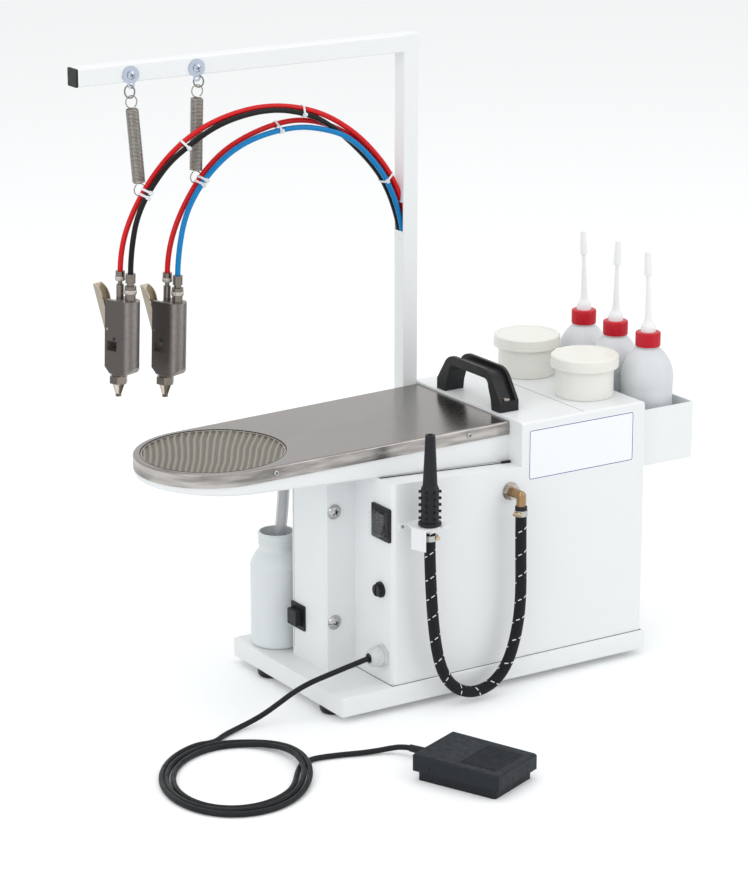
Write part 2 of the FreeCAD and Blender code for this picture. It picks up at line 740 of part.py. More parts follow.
# ---------------------------------------------------------------- duct column
def duct_column():
    """Sheet duct from the wedge pan down to the base, open towards the cabinet."""
    sheet = CABINET_SHEET
    tall = LOW_TOP + HEAD_HEIGHT
    block = rounded(box(COLUMN_LEFT, CABINET_LEFT, COLUMN_FRONT, COLUMN_BACK, BASE_TOP, tall), sheet,
                    lambda b: is_upright(b) and b.XMax < COLUMN_LEFT + 0.01)
    block = block.cut(inside_column(BASE_TOP - 1, tall + 1))
    block = block.cut(box(CABINET_LEFT - 2 * sheet, CABINET_LEFT + 1, COLUMN_FRONT + COLUMN_FLANGE,
                          COLUMN_BACK - COLUMN_FLANGE, BASE_TOP - 1, tall + 1))
    block = block.cut(above_low_roof(0))
    half = BUTTON_SIZE / 2 + BUTTON_GAP
    block = block.cut(box(COLUMN_LEFT - 1, COLUMN_LEFT + 2 * sheet, BUTTON_Y - half, BUTTON_Y + half,
                          BUTTON_Z - half, BUTTON_Z + half))
    wall = vec(0, 2 * sheet, 0)
    for place in cap_screw_places():
        block = block.cut(rod(CAP_SCREW_SHANK_RADIUS + PANEL_HOLE_GAP, place - wall, place + wall))
    return block


def inside_column(low, high):
    """Air space of the duct between two heights."""
    sheet = CABINET_SHEET
    return box(COLUMN_LEFT + sheet, CABINET_LEFT - sheet, COLUMN_FRONT + sheet, COLUMN_BACK - sheet,
               low, high)


def above_low_roof(lift):
    """Everything above the plane of the low housing's roof, left of the head."""
    far = HEAD_LEFT - BOARD_LENGTH - NOSE_RADIUS
    wedge = outline(on_front, (far, low_roof(far) + lift), (HEAD_LEFT, low_roof(HEAD_LEFT) + lift),
                    (HEAD_LEFT, 2 * HEAD_TOP), (far, 2 * HEAD_TOP))
    wedge.translate(vec(0, 2 * BASE_FRONT, 0))
    return wedge.extrude(vec(0, 2 * BASE_DEPTH, 0))


def cap_screw_places():
    x = COLUMN_LEFT + CAP_SCREW_SETBACK
    return [vec(x, COLUMN_FRONT, BASE_TOP + height) for height in CAP_SCREW_HEIGHTS]


def column_cap_screws():
    """Two domed screws that hold the column's cover."""
    screws = []
    for place in cap_screw_places():
        screw = turned(0, 0, 0, (0, -CAP_SCREW_SHANK), (CAP_SCREW_SHANK_RADIUS, -CAP_SCREW_SHANK),
                       (CAP_SCREW_SHANK_RADIUS, 0), (CAP_SCREW_RADIUS, 0), (CAP_SCREW_RADIUS, CAP_SCREW_RIM),
                       dome(CAP_SCREW_RADIUS, CAP_SCREW_RIM, CAP_SCREW_DOME))
        screw.rotate(vec(0, 0, 0), vec(1, 0, 0), 90)
        screw.translate(place)
        screws.append(screw)
    return screws


# ---------------------------------------------------------------- board
def board_outline(inset):
    """Board seen from above, its root past the head's face and its nose a half circle."""
    half = BOARD_ROOT_WIDTH / 2 - inset
    nose = NOSE_RADIUS - inset
    return outline(on_plan, (BOARD_TUCK, -half), (BOARD_TUCK, half), (NOSE_CENTRE, nose),
                   ((NOSE_CENTRE - nose, 0), (NOSE_CENTRE, -nose)))


def board_slab(inset, bottom, top):
    slab = board_outline(inset).extrude(vec(0, 0, top - bottom))
    slab.translate(vec(0, 0, bottom))
    return slab


def place_on_board(shape):
    """Move a piece from the board's own frame to its tilted place against the head."""
    shape.rotate(vec(0, 0, 0), vec(0, 1, 0), -BOARD_TILT)
    shape.translate(vec(HEAD_LEFT, BOARD_Y, BOARD_TOP))
    return shape


def board_top():
    """Steel top with a turned-down rim and a stepped round seat for the screen."""
    top = board_slab(0, -RIM_HEIGHT, 0)
    top = rounded(top, RIM_EDGE, lambda b: b.ZMin > -0.01 and b.XMin < 0)
    top = top.cut(board_slab(RIM_SHEET, -RIM_HEIGHT - 1, -RIM_SHEET))
    seat = SCREEN_RADIUS + SCREEN_CLEARANCE
    ledge = SCREEN_SEAT_DEPTH + RIM_SHEET
    top = top.fuse(upright(seat + RIM_SHEET, NOSE_CENTRE, 0, -ledge, -RIM_SHEET / 2))
    top = top.cut(upright(seat, NOSE_CENTRE, 0, -SCREEN_SEAT_DEPTH, 1))
    top = top.cut(upright(seat - SCREEN_LEDGE, NOSE_CENTRE, 0, -ledge - 1, 1))
    top = place_on_board(top)
    return top.cut(box(HEAD_LEFT, HEAD_LEFT + 2 * BOARD_TUCK, BASE_FRONT, BASE_BACK, 0, 2 * HEAD_TOP))


def mesh_screen():
    """Crimped ring with a corrugated mesh sheet inside it."""
    inner = SCREEN_RADIUS - SCREEN_RING
    floor = -SCREEN_SEAT_DEPTH
    rim = upright(SCREEN_RADIUS, 0, 0, floor, floor + SCREEN_THICKNESS)
    rim = rim.cut(upright(inner, 0, 0, floor - 1, 1))
    pitch = 2 * SCREEN_RADIUS / SCREEN_WAVES
    crest = floor + SCREEN_THICKNESS - SCREEN_CREST_DROP
    upper = []
    for wave in range(SCREEN_WAVES):
        x = -SCREEN_RADIUS + wave * pitch
        upper.append((x, crest - SCREEN_WAVE_HEIGHT))
        upper.append((x + pitch / 2, crest))
    upper.append((SCREEN_RADIUS, crest - SCREEN_WAVE_HEIGHT))
    lower = [(x, z - SCREEN_MESH) for x, z in reversed(upper)]
    sheet = outline(on_front, *upper, *lower)
    sheet.translate(vec(0, -SCREEN_RADIUS, 0))
    sheet = sheet.extrude(vec(0, 2 * SCREEN_RADIUS, 0))
    sheet = sheet.common(upright(inner + SCREEN_MESH_LAP, 0, 0, floor, 1))
    screen = rim.fuse(sheet)
    screen.translate(vec(NOSE_CENTRE, 0, 0))
    return place_on_board(screen)


def board_pan():
    """White wedge pan under the steel top, with a duct hole and a drain spigot."""
    def wedge(inset, lift):
        slab = board_outline(inset).extrude(vec(0, 0, HEAD_TOP))
        slab.translate(vec(HEAD_LEFT, BOARD_Y, 0))
        return slab.common(above_low_roof(lift))

    far = HEAD_LEFT - BOARD_LENGTH - NOSE_RADIUS
    ceiling = BOARD_TOP - RIM_HEIGHT + PAN_LAP
    roof = outline(on_front, (far, ceiling - BOARD_FALL * (HEAD_LEFT - far)), (HEAD_LEFT + 1, ceiling),
                   (HEAD_LEFT + 1, 2 * HEAD_TOP), (far, 2 * HEAD_TOP))
    roof.translate(vec(0, 2 * BASE_FRONT, 0))
    roof = roof.extrude(vec(0, 2 * BASE_DEPTH, 0))
    pan = wedge(PAN_INSET, 0)
    pan = rounded(pan, PAN_EDGE, lambda b: b.ZMax < low_roof(b.XMin) + 0.05 and b.XMin < HEAD_LEFT - 1)
    pan = pan.cut(wedge(PAN_INSET + PAN_SHEET, PAN_SHEET)).cut(roof).cut(inside_column(BASE_TOP, HEAD_TOP))
    under = low_roof(SPIGOT_X)
    pan = pan.fuse(upright(SPIGOT_RADIUS, SPIGOT_X, SPIGOT_Y, under - SPIGOT_LENGTH, under + PAN_SHEET / 2))
    return pan.cut(upright(SPIGOT_BORE, SPIGOT_X, SPIGOT_Y, under - SPIGOT_LENGTH - 1, under + 2 * PAN_SHEET))


# ---------------------------------------------------------------- drain
def drain_tube():
    """Clear tube from the pan's spigot into the waste bottle's open neck."""
    top = low_roof(SPIGOT_X) - DRAIN_TUBE_GAP
    mouth = vec(WASTE_X, WASTE_Y, BASE_TOP + WASTE_HEIGHT)
    middle = vec(SPIGOT_X, SPIGOT_Y, (top + mouth.z) / 2)
    points = [vec(SPIGOT_X, SPIGOT_Y, top), middle, mouth + vec(*DRAIN_TUBE_END)]
    return hose("drain_tube", points, DRAIN_TUBE_RADIUS, SPIGOT_RADIUS + DRAIN_TUBE_FIT)


def waste_bottle():
    """Open-necked bottle that stands on the base under the drain."""
    def profile(inset, rise):
        radius = WASTE_RADIUS - inset
        neck = WASTE_NECK_RADIUS - inset
        shoulder = (WASTE_BODY_HEIGHT + WASTE_NECK_START) / 2
        edge = WASTE_FOOT_EDGE
        bulge = edge * (1 - math.sqrt(0.5))
        return turned(WASTE_X, WASTE_Y, BASE_TOP, (0, inset), (radius - edge, inset),
                      ((radius - bulge, inset + bulge), (radius, inset + edge)),
                      (radius, WASTE_BODY_HEIGHT - inset / 2),
                      ((radius - WASTE_SHOULDER_DROP, shoulder), (neck, WASTE_NECK_START)), (neck, rise),
                      (0, rise))
    return profile(0, WASTE_HEIGHT).cut(profile(WASTE_WALL, WASTE_HEIGHT + 1))


# ---------------------------------------------------------------- mast and arm
def mast_frame():
    """Square tube mast with a welded arm; the hoses enter through a slot in its left face."""
    def tube_pair(inset, foot, reach):
        mast = rounded_block(MAST_LEFT + inset, MAST_RIGHT - inset, MAST_FRONT + inset, MAST_BACK - inset,
                             foot, MAST_TOP - inset, MAST_EDGE - inset / 2)
        arm = face_block(reach, MAST_RIGHT - inset, MAST_FRONT + inset, MAST_BACK - inset,
                         MAST_TOP - MAST_SIZE + inset, MAST_TOP - inset, MAST_EDGE - inset / 2)
        return mast.fuse(arm)
    frame = tube_pair(0, BASE_TOP, ARM_LEFT).cut(tube_pair(MAST_WALL, BASE_TOP - 1, ARM_LEFT - 1))
    slot_top = BOARD_TOP + SLOT_TOP_RISE
    slot = rounded_block(0, SLOT_HEIGHT, MAST_FRONT + MAST_WALL, MAST_BACK - MAST_WALL, 0, 3 * MAST_WALL,
                         MAST_WALL)
    slot.rotate(vec(0, 0, 0), vec(0, 1, 0), 90)
    slot.translate(vec(MAST_LEFT - MAST_WALL, 0, slot_top))
    return frame.cut(slot).cut(hose_pass(MAST_FRONT - 1, MAST_FRONT + 2 * MAST_WALL)).removeSplitter()


def arm_end_plug():
    """Black plug that closes the arm's open end."""
    front, back = MAST_FRONT, MAST_BACK
    head = face_block(ARM_LEFT - PLUG_HEAD, ARM_LEFT, front, back, MAST_TOP - MAST_SIZE, MAST_TOP, MAST_EDGE)
    skin = MAST_WALL
    insert = face_block(ARM_LEFT - 0.5, ARM_LEFT + PLUG_INSERT, front + skin, back - skin,
                        MAST_TOP - MAST_SIZE + skin, MAST_TOP - skin, MAST_EDGE / 2)
    return head.fuse(insert)


# ---------------------------------------------------------------- hangers
def working_point(offset):
    """Place given from the mast's front left edge and the board's top."""
    return vec(MAST_LEFT, MAST_FRONT, BOARD_TOP) + vec(*offset)


def eye_centre(reach):
    return vec(MAST_LEFT - reach, MAST_FRONT, MAST_TOP - EYE_PLATE_DROP)


def eye_hole(reach):
    return eye_centre(reach) - vec(0, EYE_PLATE_SHEET / 2, EYE_TAB_DROP)


def hanger_bolts():
    """Round eye plates with a hanging tab, each held on the arm by a pan-head bolt."""
    pieces = []
    for reach, _, _ in HANGERS:
        place = eye_centre(reach)
        front = place - vec(0, EYE_PLATE_SHEET, 0)
        plate = rod(EYE_PLATE_RADIUS, place, front)
        round_end = (0, -EYE_TAB_DROP - EYE_TAB_RADIUS)
        tab = outline(on_front, (-EYE_TAB_RADIUS, 0), (-EYE_TAB_RADIUS, -EYE_TAB_DROP),
                      (round_end, (EYE_TAB_RADIUS, -EYE_TAB_DROP)), (EYE_TAB_RADIUS, 0))
        tab.translate(front)
        plate = plate.fuse(tab.extrude(vec(0, EYE_PLATE_SHEET, 0)))
        hole = eye_hole(reach)
        plate = plate.cut(rod(EYE_HOLE_RADIUS, hole - vec(0, 5, 0), hole + vec(0, 5, 0)))
        head = turned(0, 0, 0, (0, 0), (EYE_BOLT_RADIUS, 0), (EYE_BOLT_RADIUS, EYE_BOLT_HEAD / 2),
                      dome(EYE_BOLT_RADIUS, EYE_BOLT_HEAD / 2, EYE_BOLT_HEAD))
        head.rotate(vec(0, 0, 0), vec(1, 0, 0), 90)
        head.translate(front)
        pieces.append(plate.fuse(head))
    return pieces


def link_ends(reach, length):
    """Wire centres at the top and the bottom of a link hanging in its eye."""
    top = eye_hole(reach) - vec(0, 0, EYE_HOLE_RADIUS - LINK_WIRE)
    return top, top - vec(0, 0, length)


def hanger_links():
    """Oval wire links, each seated on the edge of its eye hole."""
    links = []
    for reach, length, _ in HANGERS:
        top, bottom = link_ends(reach, length)
        half = LINK_WIDTH / 2
        upper, lower = top - vec(0, 0, half), bottom + vec(0, 0, half)
        sides = [vec(0, half, 0), vec(0, -half, 0)]
        path = Part.Wire([
            Part.Arc(upper + sides[1], top, upper + sides[0]).toShape(),
            Part.LineSegment(upper + sides[0], lower + sides[0]).toShape(),
            Part.Arc(lower + sides[0], bottom, lower + sides[1]).toShape(),
            Part.LineSegment(lower + sides[1], upper + sides[1]).toShape()])
        circle = Part.Wire(Part.Circle(lower + sides[0], vec(0, 0, 1), LINK_WIRE).toShape())
        links.append(path.makePipeShell([circle], True, False))
    return links


def hanger_springs():
    """Close-wound extension springs with an eye at each end, drawn as their outer shape."""
    springs = []
    for reach, length, low_eye in HANGERS:
        seat = link_ends(reach, length)[1]
        top = seat + vec(0, 0, LINK_WIRE + SPRING_WIRE - SPRING_EYE_RADIUS)
        low = working_point(low_eye)
        span = top.distanceToPoint(low)
        body_top = -SPRING_EYE_RADIUS - SPRING_SHOULDER
        body_low = -span + SPRING_EYE_RADIUS + SPRING_SHOULDER
        body = turned(0, 0, 0, (0, body_low - SPRING_SHOULDER), (SPRING_WIRE, body_low - SPRING_SHOULDER),
                      (SPRING_RADIUS, body_low), (SPRING_RADIUS, body_top),
                      (SPRING_WIRE, body_top + SPRING_SHOULDER), (0, body_top + SPRING_SHOULDER))
        spring = body.fuse(ring(vec(0, 0, 0), vec(0, 1, 0), SPRING_EYE_RADIUS, SPRING_WIRE))
        spring = spring.fuse(ring(vec(0, 0, -span), vec(0, 1, 0), SPRING_EYE_RADIUS, SPRING_WIRE))
        spring.Placement = FreeCAD.Placement(top, FreeCAD.Rotation(vec(0, 0, 1), top - low))
        springs.append(spring)
    return springs


# ---------------------------------------------------------------- spray guns
# A gun's own frame: X runs from its lever end to its round nose, with zero on the nozzle's
# axis; Z is zero at the body's bottom.
def gun_matrix(side):
    tip = working_point(GUN_TIPS[side])
    lean = FreeCAD.Rotation(vec(0.54, 0.84, 0), GUN_LEAN)
    turn = FreeCAD.Rotation(vec(0, 0, 1), GUN_TURN)
    rise = vec(0, 0, -NOZZLE_LEVELS[-1][1])
    return FreeCAD.Placement(tip, lean.multiply(turn)).multiply(FreeCAD.Placement(rise, FreeCAD.Rotation()))


def on_gun(side, shape):
    """Carry a piece from the gun's own frame to where the gun hangs."""
    placed = shape.copy()
    placed.Placement = gun_matrix(side).multiply(placed.Placement)
    return placed


def gun_x(setback):
    """A distance from the lever end, in the gun's own frame."""
    return setback - GUN_NOZZLE_SETBACK


def gun_pivot():
    return vec(gun_x(LEVER_PIVOT[0]), 0, LEVER_PIVOT[1])


def gun_body():
    """Cast body: flat lever end with a slot, round nose, chamfered foot and a side window."""
    half = GUN_WIDTH / 2
    back = gun_x(0)
    flat = gun_x(GUN_FLAT_LENGTH)
    nose = flat + half
    plan = outline(on_plan, (back, -half), (flat, -half), ((nose, 0), (flat, half)), (back, half))
    body = plan.extrude(vec(0, 0, GUN_HEIGHT))
    side = outline(on_front, (back, GUN_LEVER_CHAMFER), (gun_x(GUN_LEVER_CHAMFER), 0),
                   (nose - GUN_NOSE_CHAMFER, 0), (nose, GUN_NOSE_CHAMFER), (nose, GUN_HEIGHT),
                   (back, GUN_HEIGHT))
    side.translate(vec(0, -half, 0))
    body = body.common(side.extrude(vec(0, GUN_WIDTH, 0)))
    window = gun_x(WINDOW_SETBACK)
    body = body.cut(box(window, window + WINDOW_LENGTH, -half, half, WINDOW_RISE,
                        WINDOW_RISE + WINDOW_HEIGHT))
    slot = LEVER_WIDTH / 2 + LEVER_SIDE_GAP
    body = body.cut(box(back - 1, gun_x(LEVER_SLOT_DEPTH), -slot, slot, LEVER_SLOT_RISE, GUN_HEIGHT + 1))
    pivot = gun_pivot()
    return body.cut(rod(LEVER_PIN_RADIUS + RUNNING_FIT, pivot - vec(0, half, 0), pivot + vec(0, half, 0)))


def gun_lever():
    """Pressed channel lever: a web that bows away from the body, with two side flanges."""
    def placed(corner):
        return gun_x(corner[0]), corner[1]

    tip, heel = placed(LEVER_TIP), placed(LEVER_HEEL)
    profile = outline(on_front, heel, *(placed(corner) for corner in LEVER_BACK), (placed(LEVER_BOW), tip))
    half = LEVER_WIDTH / 2
    profile.translate(vec(0, -half, 0))
    lever = profile.extrude(vec(0, LEVER_WIDTH, 0))
    run = math.hypot(heel[0] - tip[0], heel[1] - tip[1])
    along = ((heel[0] - tip[0]) / run, (heel[1] - tip[1]) / run)
    shift = (-along[1] * LEVER_SHEET, along[0] * LEVER_SHEET)
    spare = LEVER_WIDTH
    upper = (tip[0] + shift[0] - spare * along[0], tip[1] + shift[1] - spare * along[1])
    lower = (heel[0] + shift[0] + spare * along[0], heel[1] + shift[1] + spare * along[1])
    far = lower[0] + 2 * spare
    channel = outline(on_front, upper, lower, (far, lower[1]), (far, upper[1]))
    channel.translate(vec(0, LEVER_SHEET - half, 0))
    lever = lever.cut(channel.extrude(vec(0, LEVER_WIDTH - 2 * LEVER_SHEET, 0)))
    reach = vec(0, GUN_WIDTH / 2 - LEVER_PIN_SET, 0)
    pin = rod(LEVER_PIN_RADIUS, gun_pivot() - reach, gun_pivot() + reach)
    return lever.cut(pin), pin


def gun_fittings(side):
    """Two hose fittings screwed into the top of a gun."""
    fittings = []
    for setback, levels in (FITTING_ONE, FITTING_TWO):
        fitting = stepped(levels)
        fitting.translate(vec(gun_x(setback), 0, GUN_HEIGHT))
        fittings.append(on_gun(side, fitting))
    return fittings


def gun_nozzle(side):
    """Hexagonal nozzle nut with a tapered, bored tip."""
    boss, nut, cone, taper, tip = NOZZLE_LEVELS
    nozzle = rod(boss[0], vec(0, 0, boss[1]), vec(0, 0, 0))
    nozzle = nozzle.fuse(hexagon(2 * nut[0], vec(0, 0, nut[1]), vec(0, 0, boss[1])))
    point = turned(0, 0, 0, (0, tip[1]), (tip[0], tip[1]), (tip[0], taper[1]), (taper[0], taper[1]),
                   (cone[0], cone[1]), (0, cone[1]))
    nozzle = nozzle.fuse(point)
    return on_gun(side, nozzle.cut(upright(NOZZLE_BORE, 0, 0, tip[1] - 1, taper[1] + 5)))


# ---------------------------------------------------------------- gun hoses
def hose_start(side, fitting):
    """A fitting's mouth and a point straight out of it."""
    setback, levels = fitting
    placement = gun_matrix(side)
    mouth = vec(gun_x(setback), 0, GUN_HEIGHT + levels[-1][1])
    ends = [placement.multVec(mouth), placement.multVec(mouth + vec(0, 0, GUN_HOSE_LEAD))]
    print("   starts", " ".join("(%.1f, %.1f, %.1f)" % tuple(end) for end in ends))
    return ends


def red_hoses():
    left = hose_start("left", FITTING_ONE) + points_of(
        (-350, 83, 563), (-320, 82, 605), (-284.7, 81, 635.2), (-238.4, 81, 655), (-175.7, 84, 662.2),
        (-107.7, 91, 647.3), (-54.4, 96, 615.6), (-15.5, 101, 577.6), (5.6, 105.5, 547.5),
        (18.1, 107.5, 518.5), (25, 107.5, 491), (25.8, 107.5, 465))
    right = hose_start("right", FITTING_ONE) + points_of(
        (-288.3, 87, 554.8), (-257, 89, 596), (-218, 91, 623), (-155, 93, 640), (-105, 97, 635),
        (-53.9, 102, 610.6), (-15.4, 107, 573), (5.2, 110.6, 543), (17.6, 112.6, 514.7),
        (21.4, 112.8, 488), (21.8, 112.8, 462))
    return (hose("red_left", left, GUN_HOSE_RADIUS), hose("red_right", right, GUN_HOSE_RADIUS))


def black_hose():
    points = hose_start("left", FITTING_TWO) + points_of(
        (-347.5, 75, 564.9), (-316, 74.5, 606.5), (-287, 76, 626.3), (-241, 76, 650.3), (-178.2, 78, 659.1),
        (-122.5, 82, 649), (-60, 90, 616.1), (-21.4, 95, 578.6), (-1.2, 99.8, 548.4),
        (11.2, 102.4, 519), (20.6, 102.3, 491.5), (21.7, 102.2, 465))
    return hose("black", points, GUN_HOSE_RADIUS)


def blue_hose():
    points = hose_start("right", FITTING_TWO) + points_of(
        (-284.8, 80, 557.8), (-251.5, 82, 597.9), (-206.8, 84, 624.5), (-141.6, 87, 634.7),
        (-92, 92, 624.3), (-59.4, 96, 610), (-21.5, 101, 573.4), (-1.6, 105.5, 543.3),
        (10.4, 107.5, 515), (16.8, 107.5, 489), (17.5, 107.5, 463))
    return hose("blue", points, GUN_HOSE_RADIUS)


# ---------------------------------------------------------------- carry handle
def carry_handle():
    """Bow handle with a hollow channel along its outer side and solid feet."""
    half = HANDLE_SPAN / 2
    crown = HANDLE_HEIGHT
    (shoulder, shoulder_rise), (bend, bend_rise), flat = HANDLE_OUTER
    outer = outline(on_side, (-half, 0), (-half, HANDLE_FOOT), (shoulder - half, shoulder_rise),
                    ((bend - half, bend_rise), (flat - half, crown)), (half - flat, crown),
                    ((half - bend, bend_rise), (half - shoulder, shoulder_rise)), (half, HANDLE_FOOT),
                    (half, 0))
    gap = half - HANDLE_LEG
    under = crown - HANDLE_GRIP
    ankle, knee, curve, level = HANDLE_INNER
    inner = outline(on_side, (-gap, -1), (-gap, 0), (ankle - gap, HANDLE_FOOT), (knee - gap, HANDLE_SHOULDER),
                    ((curve - gap, under - ankle), (level - gap, under)), (gap - level, under),
                    ((gap - curve, under - ankle), (gap - knee, HANDLE_SHOULDER)), (gap - ankle, HANDLE_FOOT),
                    (gap, 0), (gap, -1))
    handle = outer.extrude(vec(HANDLE_WIDTH, 0, 0)).cut(inner.extrude(vec(HANDLE_WIDTH, 0, 0)))
    core = outer.makeOffset2D(-HANDLE_CHANNEL_DEPTH)
    wall = (HANDLE_WIDTH - HANDLE_CHANNEL) / 2
    trough = outer.extrude(vec(HANDLE_CHANNEL, 0, 0)).cut(core.extrude(vec(HANDLE_CHANNEL, 0, 0)))
    trough = trough.cut(box(-1, HANDLE_CHANNEL + 1, -half - 1, half + 1, -1, HANDLE_FOOT))
    trough.translate(vec(wall, 0, 0))
    handle = handle.cut(trough)
    handle.translate(vec(HEAD_LEFT + HANDLE_LEFT_GAP, CABINET_FRONT + HANDLE_FRONT_GAP + half, HEAD_TOP))
    return handle


# ---------------------------------------------------------------- jars
def jar_place(which):
    right, back = JAR_INSETS[which]
    return CABINET_RIGHT - right, HEAD_BACK - back


def jar(which):
    """Straight jar with a wider threaded rim that the lid covers."""
    x, y = jar_place(which)
    top = JAR_BODY + JAR_RIM
    wall = JAR_WALL
    flare = JAR_BODY + JAR_RIM_FLARE
    ring_width, lift = JAR_FOOT_RING
    inner = JAR_RADIUS - wall
    mouth = JAR_RIM_RADIUS - wall
    return turned(x, y, HEAD_TOP, (0, lift), (JAR_RADIUS - ring_width, lift), (JAR_RADIUS - ring_width, 0),
                  (JAR_RADIUS - lift, 0), (JAR_RADIUS, lift), (JAR_RADIUS, JAR_BODY), (JAR_RIM_RADIUS, flare),
                  (JAR_RIM_RADIUS, top), (mouth, top), (mouth, flare + wall), (inner, JAR_BODY + wall),
                  (inner, lift + wall), (0, lift + wall))


def jar_lid(which):
    """Shallow screw lid with a raised ring round a sunken top."""
    x, y = jar_place(which)
    seat = JAR_RIM
    top = LID_HEIGHT
    inner = JAR_RIM_RADIUS + LID_CLEARANCE
    ring_inner, ring_root = LID_RING
    return turned(x, y, HEAD_TOP + JAR_BODY, (0, seat), (inner, seat), (inner, 0), (LID_RADIUS, 0),
                  (LID_RADIUS, top - LID_EDGE), (LID_RADIUS - LID_EDGE, top), (LID_RADIUS - ring_inner, top),
                  (LID_RADIUS - ring_root, top - LID_WALL), (0, top - LID_WALL))


# ---------------------------------------------------------------- bottle tray and bottles
def bottle_tray():
    """Open folded box on the head's right face."""
    tray = box(CABINET_RIGHT, TRAY_RIGHT, TRAY_FRONT, TRAY_BACK, TRAY_BOTTOM, TRAY_TOP)
    tray = rounded(tray, TRAY_SHEET, lambda b: is_upright(b) and b.XMin > CABINET_RIGHT + 1)
    sheet = TRAY_SHEET
    return tray.cut(box(CABINET_RIGHT + sheet, TRAY_RIGHT - sheet, TRAY_FRONT + sheet, TRAY_BACK - sheet,
                        TRAY_FLOOR, TRAY_TOP + 1))


def bottle_place(number):
    return CABINET_RIGHT + TRAY_LENGTH / 2, TRAY_FRONT + BOTTLE_FIRST + number * BOTTLE_PITCH


def squeeze_bottle(number):
    """Round bottle with a domed shoulder and a neck that stands inside the cap."""
    x, y = bottle_place(number)
    wall = BOTTLE_WALL
    radius = BOTTLE_RADIUS
    neck = BOTTLE_NECK_RADIUS
    straight = BOTTLE_STRAIGHT
    top = BOTTLE_HEIGHT
    inward, upward = BOTTLE_SHOULDER
    middle = (radius - (radius - neck) * inward, straight + (top - straight) * upward)
    mouth = top + BOTTLE_NECK
    ring_width, lift = BOTTLE_FOOT_RING
    edge = BOTTLE_FOOT_EDGE
    middle_inside = (middle[0] - wall, middle[1] - wall / 2)
    return turned(x, y, TRAY_FLOOR, (0, lift), (radius - ring_width, lift), (radius - ring_width, 0),
                  (radius - edge, 0), (radius, edge), (radius, straight), (middle, (neck, top)),
                  (neck, mouth), (neck - wall, mouth), (neck - wall, top),
                  (middle_inside, (radius - wall, straight)), (radius - wall, edge), (0, edge))


def bottle_cap(number):
    """Red screw ring and the tapered spout that it clamps on the neck."""
    x, y = bottle_place(number)
    base = TRAY_FLOOR + BOTTLE_HEIGHT
    inner = BOTTLE_NECK_RADIUS + LID_CLEARANCE
    roof = BOTTLE_CAP_HEIGHT - BOTTLE_CAP_WALL
    spout_radius = SPOUT_LEVELS[0][0]
    outer, top = BOTTLE_CAP_RADIUS, BOTTLE_CAP_HEIGHT
    gap, edge = BOTTLE_CAP_GAP, BOTTLE_CAP_EDGE
    cap = turned(x, y, base, (inner, gap), (outer, gap), (outer, top - edge), (outer - edge, top),
                 (spout_radius, top), (spout_radius, roof), (inner, roof))
    spout = turned(0, 0, 0, (0, 0), *SPOUT_LEVELS, (0, SPOUT_LEVELS[-1][1]))
    foot = upright(inner, 0, 0, -BOTTLE_CAP_HEIGHT + BOTTLE_NECK, -BOTTLE_CAP_WALL)
    stem = upright(spout_radius, 0, 0, -BOTTLE_CAP_WALL, 0)
    spout = spout.fuse(foot).fuse(stem)
    spout.translate(vec(x, y, base + BOTTLE_CAP_HEIGHT))
    return cap, spout


# ---------------------------------------------------------------- blow-off line
def outlet_flange():
    """Nickelled hexagonal bush on the cabinet's front."""
    wall = vec(OUTLET_X, CABINET_FRONT, OUTLET_Z)
    face = wall - vec(0, OUTLET_WASHER, 0)
    washer = rod(OUTLET_WASHER_RADIUS, wall, face)
    nut = hexagon(OUTLET_HEX, face, face - vec(0, OUTLET_HEX_LENGTH, 0))
    thread = rod(ELBOW_RADIUS, face, wall + vec(0, OUTLET_THREAD, 0))
    return washer.fuse(nut).fuse(thread)


def brass_elbow():
    """Barbed elbow that turns the outlet down into the braided hose."""
    face = CABINET_FRONT - OUTLET_WASHER - OUTLET_HEX_LENGTH
    corner = vec(OUTLET_X, LINE_Y, OUTLET_Z)
    elbow = rod(ELBOW_RADIUS, vec(OUTLET_X, face, OUTLET_Z), corner)
    elbow = elbow.fuse(Part.makeSphere(ELBOW_RADIUS, corner))
    elbow = elbow.fuse(rod(ELBOW_RADIUS, corner, corner - vec(0, 0, ELBOW_DROP)))
    return elbow.fuse(rod(BARB_RADIUS, corner, corner - vec(0, 0, ELBOW_DROP + BARB_LENGTH)))


def braided_hose():
    """Braided hose in a low U from the elbow to the blow nozzle's tail."""
    start = OUTLET_Z - ELBOW_DROP
    end = BLOW_SEAT - NUT_HEIGHT
    down, up = BRAID_LEADS
    points = points_of((OUTLET_X, LINE_Y, start), (OUTLET_X, LINE_Y, start - down), (17.6, -138.5, 112),
                       (11.8, -138.5, 69.6), (-3.5, -138.5, 36.4), (-23.5, -138.5, 18.5),
                       (-45.5, -138.5, 11.6), (-66, -138.5, 15.5), (-82.5, -138.5, 29.5), (-93.5, -138.5, 52),
                       (-100.4, -138.5, 90), (-105.4, -139.2, 141), (BLOW_X, BLOW_Y, end - up),
                       (BLOW_X, BLOW_Y, end))
    return hose("braided_hose", points, BRAID_RADIUS, BRAID_BORE)


def worm_clamp(x, y, z):
    """Worm-drive band with its screw housing in front."""
    radius = BRAID_RADIUS + CLAMP_BAND
    band = upright(radius, x, y, z, z + CLAMP_HEIGHT)
    length, depth, height = CLAMP_SCREW
    middle = z + CLAMP_HEIGHT / 2
    housing = box(x - length / 2, x + length / 2, y - radius - depth, y, middle - height / 2,
                  middle + height / 2)
    return band.fuse(housing).cut(upright(BRAID_RADIUS, x, y, z - 1, z + CLAMP_HEIGHT + 1))


def hose_clamps():
    outlet_drop, nozzle_drop = CLAMP_DROPS
    return (worm_clamp(OUTLET_X, LINE_Y, OUTLET_Z - ELBOW_DROP - outlet_drop - CLAMP_HEIGHT),
            worm_clamp(BLOW_X, BLOW_Y, BLOW_SEAT - NUT_HEIGHT - nozzle_drop - CLAMP_HEIGHT))


